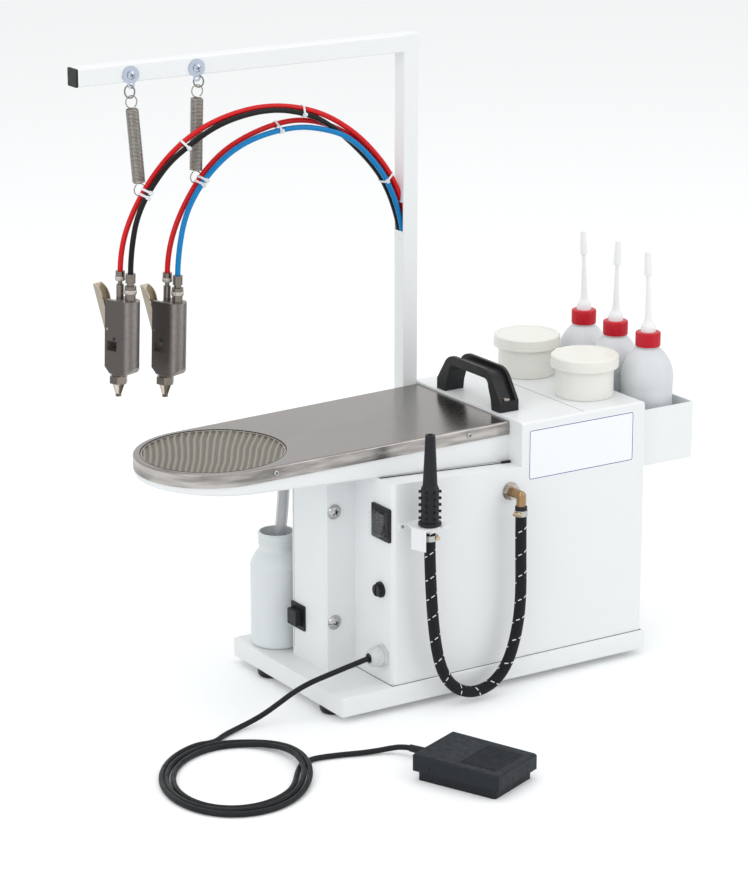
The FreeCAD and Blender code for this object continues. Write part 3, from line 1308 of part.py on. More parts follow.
def blow_nozzle():
    """Rubber blow nozzle: studded grip, flange and long tapered snout."""
    root, tip, snout = BLOW_CONE
    grip = BLOW_GRIP_HEIGHT
    edge = BLOW_FLANGE_EDGE
    nozzle = turned(0, 0, 0, (0, 0), (BLOW_FLANGE_RADIUS - edge, 0), (BLOW_FLANGE_RADIUS, edge),
                    (BLOW_FLANGE_RADIUS, BLOW_FLANGE_HEIGHT), (BLOW_GRIP_RADIUS, BLOW_FLANGE_HEIGHT + edge),
                    (BLOW_GRIP_RADIUS, grip - BLOW_GRIP_TAPER), (root, grip), (tip, grip + snout),
                    (0, grip + snout))
    for row in range(STUD_ROWS):
        turn = math.radians(90 + 360 * row / STUD_ROWS)
        out = vec(math.cos(turn), math.sin(turn), 0)
        for stud in range(STUDS_PER_ROW):
            height = vec(0, 0, BLOW_FLANGE_HEIGHT + STUD_FIRST + stud * STUD_PITCH)
            nozzle = nozzle.fuse(rod(STUD_RADIUS, out * (BLOW_GRIP_RADIUS - STUD_RADIUS) + height,
                                     out * (BLOW_GRIP_RADIUS + STUD_REACH) + height))
    nozzle = nozzle.cut(upright(BLOW_BORE, 0, 0, -1, grip + snout + 1))
    nozzle.translate(vec(BLOW_X, BLOW_Y, BLOW_SEAT))
    return nozzle


def nozzle_nut():
    """White hose tail under the blow nozzle, with a barb inside the hose."""
    nut = upright(NUT_RADIUS, BLOW_X, BLOW_Y, BLOW_SEAT - NUT_HEIGHT, BLOW_SEAT)
    barb = upright(BARB_RADIUS, BLOW_X, BLOW_Y, BLOW_SEAT - NUT_HEIGHT - BARB_LENGTH, BLOW_SEAT)
    return nut.fuse(barb).cut(upright(BARB_RADIUS / 2, BLOW_X, BLOW_Y, 0, BLOW_SEAT + 1))


def nozzle_holder():
    """Bent bracket with a front slot that the nozzle's tail drops into."""
    sheet = HOLDER_SHEET
    wall = CABINET_FRONT
    front = BLOW_Y - HOLDER_LIP
    right = BLOW_X + HOLDER_RIGHT
    left, setback = HOLDER_SKIRT_BACK
    skirt = ((BLOW_X - left, BLOW_Y + setback), (BLOW_X - HOLDER_SKIRT_FRONT, front))
    shelf = outline(on_plan, (BLOW_X - HOLDER_ROOT_LEFT, wall), *skirt, (right, front), (right, wall))
    shelf.translate(vec(0, 0, BLOW_SEAT - sheet))
    holder = shelf.extrude(vec(0, 0, sheet))
    holder = holder.fuse(box(BLOW_X - HOLDER_FLANGE_LEFT, right, wall - sheet, wall,
                             BLOW_SEAT - HOLDER_FLANGE, BLOW_SEAT))
    (back_x, back_y), (front_x, front_y) = skirt
    panel = outline(on_plan, *skirt, (front_x + sheet, front_y), (back_x + sheet, back_y))
    panel.translate(vec(0, 0, BLOW_SEAT - HOLDER_SKIRT))
    holder = holder.fuse(panel.extrude(vec(0, 0, HOLDER_SKIRT)))
    half = NUT_RADIUS + HOLDER_SLOT_GAP
    slot = upright(half, BLOW_X, BLOW_Y, BLOW_SEAT - sheet - 1, BLOW_SEAT + 1)
    mouth = box(BLOW_X - half, BLOW_X + half, front - 1, BLOW_Y, BLOW_SEAT - sheet - 1, BLOW_SEAT + 1)
    return holder.cut(slot).cut(mouth).removeSplitter()


# ---------------------------------------------------------------- controls on the cabinet
def face_plate(face, y, z, size, hole, corner):
    """Flat bezel on a left-facing wall, with a square opening."""
    width, height, thick = size
    plate = face_block(face - thick, face, y - width / 2, y + width / 2, z - height / 2, z + height / 2,
                       corner)
    return plate.cut(box(face - thick - 1, face + 1, y - hole[0] / 2, y + hole[0] / 2,
                         z - hole[1] / 2, z + hole[1] / 2))


def switch_bezel():
    hole = (ROCKER_SIZE[0] + 2 * ROCKER_GAP, ROCKER_SIZE[1] + 4 * ROCKER_GAP)
    return face_plate(CABINET_LEFT, SWITCH_Y, SWITCH_Z, BEZEL_SIZE, hole, BEZEL_CORNER)


def switch_rocker():
    """Hollow-faced rocker, at rest with its upper end pressed in."""
    width, height = ROCKER_SIZE
    end = BEZEL_SIZE[2] + ROCKER_PROUD
    half = height / 2
    neck = half - ROCKER_GAP / 2
    rocker = outline(on_front, (-end, -half), (ROCKER_DISH - end, 0), (-end, half), (0, neck),
                     (ROCKER_DEPTH - end, ROCKER_TAIL), (ROCKER_DEPTH - end, -ROCKER_TAIL), (0, -neck))
    rocker = rocker.extrude(vec(0, width, 0))
    rocker.translate(vec(0, -width / 2, 0))
    rocker.rotate(vec(0, 0, 0), vec(0, 1, 0), ROCKER_TILT)
    rocker.translate(vec(CABINET_LEFT, SWITCH_Y, SWITCH_Z))
    return rocker


def switch_boot():
    """Clear half-round splash cover over the rocker."""
    def half_round(inset):
        radius = BOOT_WIDTH / 2 - inset
        straight = BOOT_REACH - BOOT_WIDTH / 2
        shape = outline(on_plan, (inset, -radius), (-straight, -radius),
                        ((-straight - radius, 0), (-straight, radius)), (inset, radius))
        shape.translate(vec(0, 0, inset - BOOT_HEIGHT / 2))
        return shape.extrude(vec(0, 0, BOOT_HEIGHT - 2 * inset))
    boot = half_round(0).cut(half_round(BOOT_WALL))
    boot.translate(vec(CABINET_LEFT - BEZEL_SIZE[2], SWITCH_Y, SWITCH_Z))
    return boot


def fuse_holder():
    """Round holder with a bore for the fuse cap's stem."""
    face = CABINET_LEFT
    centre = (FUSE_Y, FUSE_Z)
    holder = rod(FUSE_FLANGE_RADIUS, vec(face - FUSE_FLANGE, *centre), vec(face, *centre))
    holder = holder.fuse(rod(FUSE_BARREL_RADIUS, vec(face, *centre), vec(face + FUSE_BARREL, *centre)))
    return holder.cut(rod(FUSE_STEM_RADIUS + RUNNING_FIT, vec(face - FUSE_FLANGE - 1, *centre),
                          vec(face + FUSE_STEM + FUSE_FLANGE, *centre)))


def fuse_cap():
    """Fuse cap with a screwdriver slot and a stem in the holder's bore."""
    face = CABINET_LEFT - FUSE_FLANGE
    centre = (FUSE_Y, FUSE_Z)
    cap = rod(FUSE_CAP_RADIUS, vec(face - FUSE_CAP_REACH, *centre), vec(face, *centre))
    cap = cap.fuse(rod(FUSE_STEM_RADIUS, vec(face, *centre), vec(face + FUSE_STEM, *centre)))
    slot = FUSE_CAP_SLOT
    return cap.cut(box(face - FUSE_CAP_REACH - 1, face - FUSE_CAP_REACH + slot, FUSE_Y - slot / 2,
                       FUSE_Y + slot / 2, FUSE_Z - FUSE_CAP_RADIUS - 1, FUSE_Z + FUSE_CAP_RADIUS + 1))


def cable_gland():
    """Cord gland: hexagon, domed nut and a thread through the wall."""
    face = CABINET_LEFT
    centre = (GLAND_Y, GLAND_Z)
    hexagon_end = face - GLAND_HEX_LENGTH
    gland = hexagon(GLAND_HEX, vec(face, *centre), vec(hexagon_end, *centre))
    radius = GLAND_DOME_RADIUS
    inward, height = GLAND_DOME_BEND
    nut = turned(0, 0, 0, (0, 0), (radius, 0), (radius, GLAND_DOME_SIDE),
                 ((radius - inward, height), (GLAND_MOUTH_RADIUS, GLAND_DOME)), (0, GLAND_DOME))
    nut.rotate(vec(0, 0, 0), vec(0, 1, 0), -90)
    nut.translate(vec(hexagon_end, *centre))
    thread = rod(GLAND_THREAD_RADIUS, vec(face, *centre), vec(face + GLAND_THREAD, *centre))
    return gland.fuse(nut).fuse(thread)


def button_bezel():
    hole = BUTTON_SIZE + 2 * BUTTON_GAP
    return face_plate(COLUMN_LEFT, BUTTON_Y, BUTTON_Z, BUTTON_BEZEL, (hole, hole), BUTTON_CORNER)


def push_button():
    """Square button that travels into the column."""
    half = BUTTON_SIZE / 2
    outer = COLUMN_LEFT - BUTTON_BEZEL[2] - BUTTON_REACH
    button = face_block(outer, COLUMN_LEFT + BUTTON_TAIL, BUTTON_Y - half, BUTTON_Y + half,
                        BUTTON_Z - half, BUTTON_Z + half, BUTTON_CORNER)
    return rounded(button, BUTTON_EDGE, lambda b: b.XMax < outer + 0.01)


# ---------------------------------------------------------------- foot pedal
# The pedal's own frame: X runs from heel to toe, with zero at the middle of the base.
def on_pedal(shape):
    placed = shape.copy()
    place = FreeCAD.Placement(vec(*PEDAL_CENTRE, 0), FreeCAD.Rotation(vec(0, 0, 1), PEDAL_TURN))
    placed.Placement = place.multiply(placed.Placement)
    return placed


def treadle_size():
    length = PEDAL_BASE[0] + 2 * (TREADLE_END_GAP + TREADLE_WALL)
    width = PEDAL_BASE[1] + 2 * (TREADLE_GAP + TREADLE_WALL)
    return length, width


def pedal_pin_centre():
    return vec(PEDAL_PIN_SETBACK - treadle_size()[0] / 2, 0, PEDAL_PIN_HEIGHT)


def pedal_base():
    """Shallow box with two pivot ears."""
    length, width = PEDAL_BASE
    base = rounded_block(-length / 2, length / 2, -width / 2, width / 2, 0, PEDAL_BASE_HEIGHT, PEDAL_CORNER)
    sheet = PEDAL_BASE_SHEET
    base = base.cut(rounded_block(sheet - length / 2, length / 2 - sheet, sheet - width / 2,
                                  width / 2 - sheet, sheet, PEDAL_BASE_HEIGHT + 1, PEDAL_CORNER / 2))
    centre = pedal_pin_centre()
    for side in (-1, 1):
        outer = side * width / 2
        inner = outer - side * PEDAL_EAR_WIDTH
        low, high = sorted((outer, inner))
        ear = box(centre.x - PEDAL_EAR_RADIUS, centre.x + PEDAL_EAR_RADIUS, low, high, sheet / 2, centre.z)
        ear = ear.fuse(rod(PEDAL_EAR_RADIUS, vec(centre.x, low, centre.z), vec(centre.x, high, centre.z)))
        base = base.fuse(ear)
    pin = rod(PEDAL_PIN_RADIUS, centre - vec(0, width, 0), centre + vec(0, width, 0))
    relief = rod(RELIEF_RADIUS, vec(-length, RELIEF_OFFSET, RELIEF_HEIGHT),
                 vec(0, RELIEF_OFFSET, RELIEF_HEIGHT))
    return on_pedal(base.removeSplitter().cut(pin).cut(relief))


def pedal_treadle():
    """Cap-shaped treadle with a ribbed tread near the toe; it swings on the heel pin."""
    length, width = treadle_size()
    heel, toe = -length / 2, length / 2

    def cap(inset, roof, floor):
        side = outline(on_front, (heel + inset, floor), (toe - inset, floor),
                       (toe - inset, TREADLE_TOE_HEIGHT - roof), (heel + inset, TREADLE_REAR_HEIGHT - roof))
        side.translate(vec(0, inset - width / 2, 0))
        return side.extrude(vec(0, width - 2 * inset, 0))

    treadle = rounded(cap(0, 0, TREADLE_SKIRT), PEDAL_CORNER, is_upright)
    treadle = treadle.makeChamfer(TREADLE_EDGE / 2, [edge for edge in treadle.Edges
                                                     if edge.BoundBox.ZMin > TREADLE_TOE_HEIGHT - 0.5])
    treadle = treadle.cut(cap(TREADLE_WALL, TREADLE_WALL, 0))
    slope = (TREADLE_REAR_HEIGHT - TREADLE_TOE_HEIGHT) / length
    half = width / 2 - 3 * TREADLE_EDGE
    for rib in range(GRIP_RIBS):
        x = toe - 3 * TREADLE_EDGE - rib * GRIP_RIB_PITCH
        top = TREADLE_TOE_HEIGHT + slope * (toe - x)
        treadle = treadle.fuse(rod(GRIP_RIB_HEIGHT, vec(x, -half, top), vec(x, half, top)))
    centre = pedal_pin_centre()
    bore = rod(PEDAL_PIN_RADIUS + RUNNING_FIT, centre - vec(0, width, 0), centre + vec(0, width, 0))
    reach = RELIEF_RADIUS + RELIEF_NOTCH_GAP
    notch = box(heel - 1, heel + 2 * TREADLE_WALL, RELIEF_OFFSET - reach, RELIEF_OFFSET + reach, 0,
                RELIEF_HEIGHT + reach + RELIEF_NOTCH_GAP)
    return on_pedal(treadle.cut(bore).cut(notch))


def pedal_pin():
    centre = pedal_pin_centre()
    reach = vec(0, treadle_size()[1] / 2 - PEDAL_PIN_SET, 0)
    return on_pedal(rod(PEDAL_PIN_RADIUS, centre - reach, centre + reach))


def pedal_relief():
    """Tapered rubber sleeve where the cord enters the pedal's heel."""
    inside = -PEDAL_BASE[0] / 2 + 2 * PEDAL_BASE_SHEET
    relief = Part.makeCone(RELIEF_RADIUS, RELIEF_END_RADIUS, RELIEF_LENGTH,
                           vec(-PEDAL_BASE[0] / 2, RELIEF_OFFSET, RELIEF_HEIGHT), vec(-1, 0, 0))
    root = rod(RELIEF_RADIUS, vec(-PEDAL_BASE[0] / 2, RELIEF_OFFSET, RELIEF_HEIGHT),
               vec(inside, RELIEF_OFFSET, RELIEF_HEIGHT))
    return on_pedal(relief.fuse(root))


def relief_mouth():
    place = FreeCAD.Placement(vec(*PEDAL_CENTRE, 0), FreeCAD.Rotation(vec(0, 0, 1), PEDAL_TURN))
    mouth = vec(-PEDAL_BASE[0] / 2 - RELIEF_LENGTH, RELIEF_OFFSET, RELIEF_HEIGHT)
    ends = [place.multVec(mouth - vec(RELIEF_LEAD, 0, 0)), place.multVec(mouth)]
    print("   relief", " ".join("(%.1f, %.1f, %.1f)" % tuple(end) for end in ends))
    return ends


# ---------------------------------------------------------------- pedal cord
def pedal_cord():
    """Cord from the gland down to the coil, and from the coil to the pedal."""
    gland = vec(CABINET_LEFT - GLAND_HEX_LENGTH - GLAND_DOME, GLAND_Y, GLAND_Z)
    first = [gland] + points_of(
        (-185.3, -96.6, 57.6), (-210, -95, 52.5), (-234, -91, 46), (-251.5, -86, 37.3), (-266.5, -79.5, 25.5),
        (-282.5, -74, 14), (-300.8, -71.5, 6.6), (-320.5, -74, 3.4), (-341, -82.5, 3.3), (-359, -95, 3.3))
    second = points_of((-308.5, -181.5, 9.4), (-285, -187.5, 9.2), (-259.5, -195, 4.5), (-233, -202.5, 4),
                       (-213, -211.5, 6.8)) + relief_mouth()
    return hose("pedal_cord_first", first, CORD_RADIUS), hose("pedal_cord_second", second, CORD_RADIUS)


def cord_coil():
    """Outer shape of the loose coil of cord on the floor."""
    centre = vec(0, 0, 0)
    faces = []
    for major, minor in (COIL_OUTER, COIL_INNER):
        ellipse = Part.Ellipse(centre, major, minor)
        faces.append(Part.Face(Part.Wire(ellipse.toShape())))
    coil = faces[0].extrude(vec(0, 0, COIL_HEIGHT)).cut(faces[1].extrude(vec(0, 0, COIL_HEIGHT)))
    coil.rotate(centre, vec(0, 0, 1), COIL_TURN)
    coil.translate(vec(*COIL_CENTRE, 0))
    return coil


# ---------------------------------------------------------------- machinery inside
def suction_blower():
    """Centrifugal blower that stands on the base inside the head."""
    radius, height = BLOWER_VOLUTE
    motor_radius, motor_height = BLOWER_MOTOR
    x = CABINET_RIGHT - CABINET_SHEET - BLOWER_GAP - radius
    y = HEAD_BACK - CABINET_SHEET - BLOWER_GAP - radius
    volute = upright(radius, x, y, BASE_TOP, BASE_TOP + height)
    duct = box(x - radius - BLOWER_GAP, x, y + radius / 3, y + radius, BASE_TOP, BASE_TOP + height)
    motor = upright(motor_radius, x, y, BASE_TOP + height, BASE_TOP + height + motor_height)
    return volute.fuse(duct).fuse(motor)


def solenoid_valves():
    """Manifold block with a row of solenoid coils behind the blow-off outlet."""
    length, depth, height = VALVE_BLOCK
    x = OUTLET_X - length / 2
    y = CABINET_FRONT + CABINET_SHEET + VALVE_GAP
    block = box(x, x + length, y, y + depth, BASE_TOP, BASE_TOP + height)
    coil_length, coil_depth, coil_height = VALVE_COIL
    coils = [block]
    for valve in range(VALVE_COUNT):
        left = x + (length - (VALVE_COUNT - 1) * VALVE_PITCH - coil_length) / 2 + valve * VALVE_PITCH
        front = y + (depth - coil_depth) / 2
        coils.append(box(left, left + coil_length, front, front + coil_depth, BASE_TOP + height,
                         BASE_TOP + height + coil_height))
    return coils


# ---------------------------------------------------------------- assembly
def main():
    os.makedirs("parts", exist_ok=True)
    save("base_pan", base_pan())
    save("rubber_feet", *rubber_feet())
    save("cabinet_shell", cabinet_shell())
    save("service_panel", service_panel())
    save("duct_column", duct_column())
    save("column_cap_screws", *column_cap_screws())
    save("board_top", board_top())
    save("mesh_screen", mesh_screen())
    save("board_pan", board_pan())
    save("drain_tube", drain_tube())
    save("waste_bottle", waste_bottle())
    save("mast_frame", mast_frame())
    save("arm_end_plug", arm_end_plug())
    save("hanger_bolts", *hanger_bolts())
    save("hanger_links", *hanger_links())
    save("hanger_springs", *hanger_springs())
    fittings = []
    nozzles = []
    for side in GUN_TIPS:
        save("gun_body_" + side, on_gun(side, gun_body()))
        save("gun_lever_" + side, *(on_gun(side, piece) for piece in gun_lever()))
        fittings.extend(gun_fittings(side))
        nozzles.append(gun_nozzle(side))
        placement = gun_matrix(side)
        pivot = placement.multVec(gun_pivot())
        axis = placement.Rotation.multVec(vec(0, 1, 0))
        print("gun lever", side, "pivot", tuple(pivot), "axis", tuple(axis))
    save("gun_hose_fittings", *fittings)
    save("gun_nozzles", *nozzles)
    save("red_hoses", *red_hoses())
    save("black_hose", black_hose())
    save("blue_hose", blue_hose())
    save("carry_handle", carry_handle())
    for which in JAR_INSETS:
        save("jar_" + which, jar(which))
        save("jar_%s_lid" % which, jar_lid(which))
    save("bottle_tray", bottle_tray())
    for number in range(BOTTLE_COUNT):
        save("bottle_%d" % (number + 1), squeeze_bottle(number))
        save("bottle_cap_%d" % (number + 1), *bottle_cap(number))
    save("outlet_flange", outlet_flange())
    save("brass_elbow", brass_elbow())
    save("braided_hose", braided_hose())
    save("hose_clamps", *hose_clamps())
    save("blow_nozzle", blow_nozzle())
    save("nozzle_nut", nozzle_nut())
    save("nozzle_holder", nozzle_holder())
    save("switch_bezel", switch_bezel())
    save("switch_rocker", switch_rocker())
    save("switch_boot", switch_boot())
    save("fuse_holder", fuse_holder())
    save("fuse_cap", fuse_cap())
    save("cable_gland", cable_gland())
    save("button_bezel", button_bezel())
    save("push_button", push_button())
    save("pedal_base", pedal_base())
    save("pedal_treadle", pedal_treadle())
    save("pedal_pin", pedal_pin())
    save("pedal_relief", pedal_relief())
    save("pedal_cord", *pedal_cord())
    save("cord_coil", cord_coil())
    save("suction_blower", suction_blower())
    save("solenoid_valves", *solenoid_valves())
    axis = on_pedal(rod(1, vec(0, 0, 0), vec(0, 1, 0))).Placement
    print("pedal pin", tuple(axis.multVec(pedal_pin_centre())), tuple(axis.Rotation.multVec(vec(0, 1, 0))))


main()
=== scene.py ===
"""Finishes, hoses, cord and small fittings of a table-top stain-removing station.

Everything is in metres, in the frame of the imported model: +X towards the bottle tray, +Y to
the back and +Z up, with the origin on the floor under the middle of the base pan. The mesh
helpers take outlines and sizes in millimetres and places in metres.
"""
import math

import bmesh
import bpy
from mathutils import Matrix, Vector, noise


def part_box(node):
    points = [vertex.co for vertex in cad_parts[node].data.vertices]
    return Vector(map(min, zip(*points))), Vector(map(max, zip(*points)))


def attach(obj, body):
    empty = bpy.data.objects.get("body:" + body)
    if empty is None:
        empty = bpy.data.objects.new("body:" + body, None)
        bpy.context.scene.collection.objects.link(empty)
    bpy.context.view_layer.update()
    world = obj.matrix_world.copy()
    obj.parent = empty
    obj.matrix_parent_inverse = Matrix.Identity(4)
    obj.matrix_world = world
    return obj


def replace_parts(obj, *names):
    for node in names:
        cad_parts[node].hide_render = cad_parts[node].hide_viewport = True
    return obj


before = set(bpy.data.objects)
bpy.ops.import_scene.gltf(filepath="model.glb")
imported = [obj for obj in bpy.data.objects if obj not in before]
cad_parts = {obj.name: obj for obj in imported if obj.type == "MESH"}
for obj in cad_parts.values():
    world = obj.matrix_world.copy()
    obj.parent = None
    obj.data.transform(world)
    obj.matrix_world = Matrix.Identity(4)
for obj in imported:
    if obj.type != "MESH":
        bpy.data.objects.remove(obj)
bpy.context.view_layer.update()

bl_info = {
    "name": "Stain-removing station",
    "version": (1, 0, 0),
    "blender": (4, 5, 0),
    "location": "View3D > Sidebar > Station",
    "description": "Dresses the packed model of a table-top stain-removing station",
    "category": "Object",
}

MM = 0.001

# ---------------------------------------------------------------- anchors from the frame
CABINET_LOW, CABINET_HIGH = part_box("cabinet_shell")
BOARD_LOW, BOARD_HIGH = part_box("board_top")
HEAD_LEFT = BOARD_HIGH.x
BOARD_TILT = math.radians(0.877)
BOARD_LENGTH = 420 * MM
NOSE_RADIUS = 88.5 * MM
RIM_HEIGHT = 15.5 * MM
SCREEN_RADIUS = 80.2 * MM
BOARD_FRAME = (
    Matrix.Translation((HEAD_LEFT, (BOARD_LOW.y + BOARD_HIGH.y) / 2, BOARD_HIGH.z))
    @ Matrix.Rotation(-BOARD_TILT, 4, "Y")
)
SCREEN_FRAME = BOARD_FRAME @ Matrix.Translation((NOSE_RADIUS - BOARD_LENGTH, 0, 0))

MAST_LOW, MAST_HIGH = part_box("mast_frame")
MAST_SIZE = 20 * MM
MAST_CORNER = Vector((MAST_HIGH.x - MAST_SIZE, MAST_LOW.y, MAST_HIGH.z))

# The guns lean about this slant over the floor, and the screen's ribs and the coil lie along it
SLANT = Vector((0.54, 0.84, 0))
# Square to it, the way that the links are wide and the spouts lean
ACROSS = Vector((0.842, -0.540, 0))
GUN_TIPS = {"left": (-381.7, -8.9, -365.7), "right": (-323.1, -8.9, -375.2)}
GUN_TURN = math.radians(-66.7)
GUN_LEAN = math.radians(1.8)
GUN_NOZZLE_DROP = 27.7 * MM

HOSE_RADIUS = 3.1 * MM
BRAID_RADIUS = 6.5 * MM
CORD_RADIUS = 3.1 * MM


def linear(red, green, blue):
    """A display colour, 0 to 255, as Blender's linear colour."""
    return tuple(((value / 255 + 0.055) / 1.055) ** 2.4 if value > 10 else value / 255 / 12.92
                 for value in (red, green, blue))


def scaled(colour, strength):
    return tuple(min(1, value * strength) for value in colour)


def mm(x, y, z):
    return Vector((x, y, z)) * MM


def at(x, y, z):
    return Matrix.Translation((x, y, z))


def axes(x, y, z, place=(0, 0, 0)):
    """Frame with these three axes at a place."""
    return Matrix.Translation(place) @ Matrix((x, y, z)).transposed().to_4x4()


def facing(direction, *place):
    """Frame at a place whose Z points along a direction."""
    return at(*place) @ Vector(direction).to_track_quat("Z", "Y").to_matrix().to_4x4()


def gun_frame(side):
    """Place of a gun's own frame: X from lever to nose, Z up, zero at the body's bottom."""
    return (Matrix.Translation(MAST_CORNER + mm(*GUN_TIPS[side])) @ Matrix.Rotation(GUN_LEAN, 4, SLANT)
            @ Matrix.Rotation(GUN_TURN, 4, "Z") @ at(0, 0, GUN_NOZZLE_DROP))


# ---------------------------------------------------------------- settings
def colour_setting(name, description, *display):
    return bpy.props.FloatVectorProperty(name=name, description=description, default=linear(*display),
                                         subtype="COLOR", size=3, min=0, max=1)


def number_setting(name, description, value, unit="NONE"):
    return bpy.props.FloatProperty(name=name, description=description, default=value, min=0, unit=unit)


def length_setting(name, description, millimetres):
    return number_setting(name, description, millimetres * MM, "LENGTH")


class StationColours(bpy.types.PropertyGroup):
    """Colours of the station's finishes"""
    paint: colour_setting("Paint", "Powder-coated sheet", 235, 238, 239)
    steel: colour_setting("Board steel", "Brushed stainless top", 146, 142, 139)
    casting: colour_setting("Gun casting", "Spray gun bodies", 108, 103, 100)
    black: colour_setting("Black plastic", "Handle and switch", 28, 29, 31)
    red_hose: colour_setting("Red hose", "Steam hoses", 212, 20, 26)
    blue_hose: colour_setting("Blue hose", "Air hose", 0, 128, 194)
    cap: colour_setting("Bottle cap", "Screw caps", 196, 22, 42)
    jar: colour_setting("Jar", "Jars and lids", 233, 233, 226)
    bottle: colour_setting("Bottle", "Squeeze bottles", 213, 217, 220)
    border: colour_setting("Label border", "Line round the bare label panel", 72, 80, 148)


class FittingSizes(bpy.types.PropertyGroup):
    """Sizes of the small fittings"""
    tie_width: length_setting("Tie width", "Width of a cable tie", 2.6)
    tie_thickness: length_setting("Tie thickness", "Thickness of a cable tie", 0.9)
    spring_wire: length_setting("Spring wire", "Radius of the spring wire", 0.7)
    spring_pitch: length_setting("Spring pitch", "Rise of one turn of spring", 1.5)
    label_margin: length_setting("Label margin", "Bare edge round the label panel", 9.5)
    border_width: length_setting("Border width", "Width of the line on the label panel", 0.85)
    screw_radius: length_setting("Screw radius", "Radius of the small pan heads", 3.3)


class ScreenSizes(bpy.types.PropertyGroup):
    """Sizes of the round mesh screen"""
    waves: bpy.props.IntProperty(name="Waves", description="Ribs across the screen", default=23, min=5)
    wave_height: length_setting("Wave height", "Height of a rib", 1.5)
    sway: length_setting("Sway", "How far the ribs wander", 0.9)
    fan: number_setting("Fan", "Share by which the ribs spread to the back", 0.09)
    rim: length_setting("Rim", "Width of the crimped rim", 1.5)


class StageSettings(bpy.types.PropertyGroup):
    """Camera, floor and lamps"""
    focal_length: number_setting("Focal length", "Lens of the camera", 130.44, "CAMERA")
    floor_colour: colour_setting("Floor", "Colour of the floor", 246, 248, 249)
    key_power: number_setting("Key lamp", "Power of the soft key lamp", 38, "POWER")
    fill_power: number_setting("Fill lamp", "Power of the soft fill lamp", 21, "POWER")
    top_power: number_setting("Top lamp", "Power of the soft lamp overhead", 23, "POWER")
    sky: number_setting("Sky", "Strength of the even surrounding light", 0.78)


# ---------------------------------------------------------------- material helpers
class Finish:
    """One procedural material under construction."""

    def __init__(self, name, colour, roughness, metallic=0.0, gloss=0.5):
        self.material = bpy.data.materials.new(name)
        self.material.use_nodes = True
        self.tree = self.material.node_tree
        self.shader = self.tree.nodes["Principled BSDF"]
        self.colour = tuple(colour)
        self.set("Base Color", (*colour, 1))
        self.set("Roughness", roughness)
        self.set("Metallic", metallic)
        self.set("Specular IOR Level", gloss)
        self.coordinates = self.node("TexCoord").outputs

    def set(self, socket, value):
        self.shader.inputs[socket].default_value = value

    def link(self, source, target):
        self.tree.links.new(source, target)

    def dress(self, source, socket="Base Color"):
        """Let a node drive one of the shader's sockets."""
        self.link(source, self.shader.inputs[socket])

    def node(self, kind, **inputs):
        """A new node, with some of its inputs set."""
        node = self.tree.nodes.new("ShaderNode" + kind)
        for socket, value in inputs.items():
            node.inputs[socket.replace("_", " ")].default_value = value
        return node

    def noise(self, scale, stretch=(1, 1, 1), detail=3.0):
        """Noise in metres: scale is cells per metre, stretched along an axis."""
        mapping = self.node("Mapping", Scale=stretch)
        texture = self.node("TexNoise", Scale=scale, Detail=detail)
        self.link(self.coordinates["Object"], mapping.inputs["Vector"])
        self.link(mapping.outputs["Vector"], texture.inputs["Vector"])
        return texture.outputs["Fac"]

    def waves(self, scale, axis, place):
        texture = self.node("TexWave", Scale=scale)
        texture.bands_direction = axis
        self.link(place, texture.inputs["Vector"])
        return texture.outputs["Fac"]

    def mixed(self, factor, low, high):
        """Colour between two; each of the three is a value or another node's socket."""
        mix = self.node("Mix")
        mix.data_type = "RGBA"
        for socket, value in ((mix.inputs["Factor"], factor), (mix.inputs[6], low), (mix.inputs[7], high)):
            if isinstance(value, bpy.types.NodeSocket):
                self.link(value, socket)
            else:
                socket.default_value = (*value, 1) if isinstance(value, tuple) else value
        return mix.outputs[2]

    def ranged(self, value, low, high, start=0.3, end=0.7):
        span = self.node("MapRange", From_Min=start, From_Max=end, To_Min=low, To_Max=high)
        self.link(value, span.inputs["Value"])
        return span.outputs["Result"]

    def facing(self, axis):
        """How far the surface faces along an axis of the object: 0 is against it, 1 is with it."""
        split = self.node("SeparateXYZ")
        self.link(self.coordinates["Normal"], split.inputs["Vector"])
        return self.ranged(split.outputs[axis], 0, 1, -1, 1)

    def bands(self, factor, stops):
        """The base colour times each stop's strength, by which way the surface faces: painted highlights and
        reflections on bent metal.
        """
        ramp = self.node("ValToRGB")
        points = ramp.color_ramp.elements
        points[0].position, points[1].position = stops[0][0], stops[-1][0]
        for position, strength in stops[1:-1]:
            points.new(position)
        for point, (position, strength) in zip(points, stops):
            point.color = (*scaled(self.colour, strength), 1)
        self.link(factor, ramp.inputs["Fac"])
        return ramp.outputs["Color"]

    def bump(self, height, distance, strength=1.0):
        """Raise the surface by a height, on top of any bump made before."""
        bump = self.node("Bump", Distance=distance, Strength=strength)
        self.link(height, bump.inputs["Height"])
        normal = self.shader.inputs["Normal"]
        if normal.is_linked:
            self.link(normal.links[0].from_socket, bump.inputs["Normal"])
        self.link(bump.outputs["Normal"], normal)

    def shades(self, scale, depth):
        """Slow, faint change of the base colour over the surface."""
        self.dress(self.mixed(self.noise(scale), scaled(self.colour, 1 - depth), self.colour))

    def surfaced(self, rough, grain, stretch=(1, 1, 1)):
        """The finished material, with a change of gloss (scale, low, high) and a fine grain
        (scale, detail, depth, strength)."""
        scale, low, high = rough
        self.dress(self.ranged(self.noise(scale, stretch), low, high), "Roughness")
        scale, detail, depth, strength = grain
        self.bump(self.noise(scale, stretch, detail), depth, strength)
        return self.material


def plain(name, colour, roughness, shades, rough, grain, metallic=0.0, gloss=0.5, **sockets):
    """Finish with one slow change of shade, one of gloss and one fine grain."""
    finish = Finish(name, colour, roughness, metallic, gloss)
    finish.shades(*shades)
    for socket, value in sockets.items():
        finish.set(socket, value)
    return finish.surfaced(rough, grain)


def powder_coat(name, colour):
    """Smooth powder coat with a faint orange peel."""
    return plain(name, colour, 0.35, (14, 0.02), (60, 0.3, 0.42), (650, 2, 0.00006, 0.35), gloss=0.4)


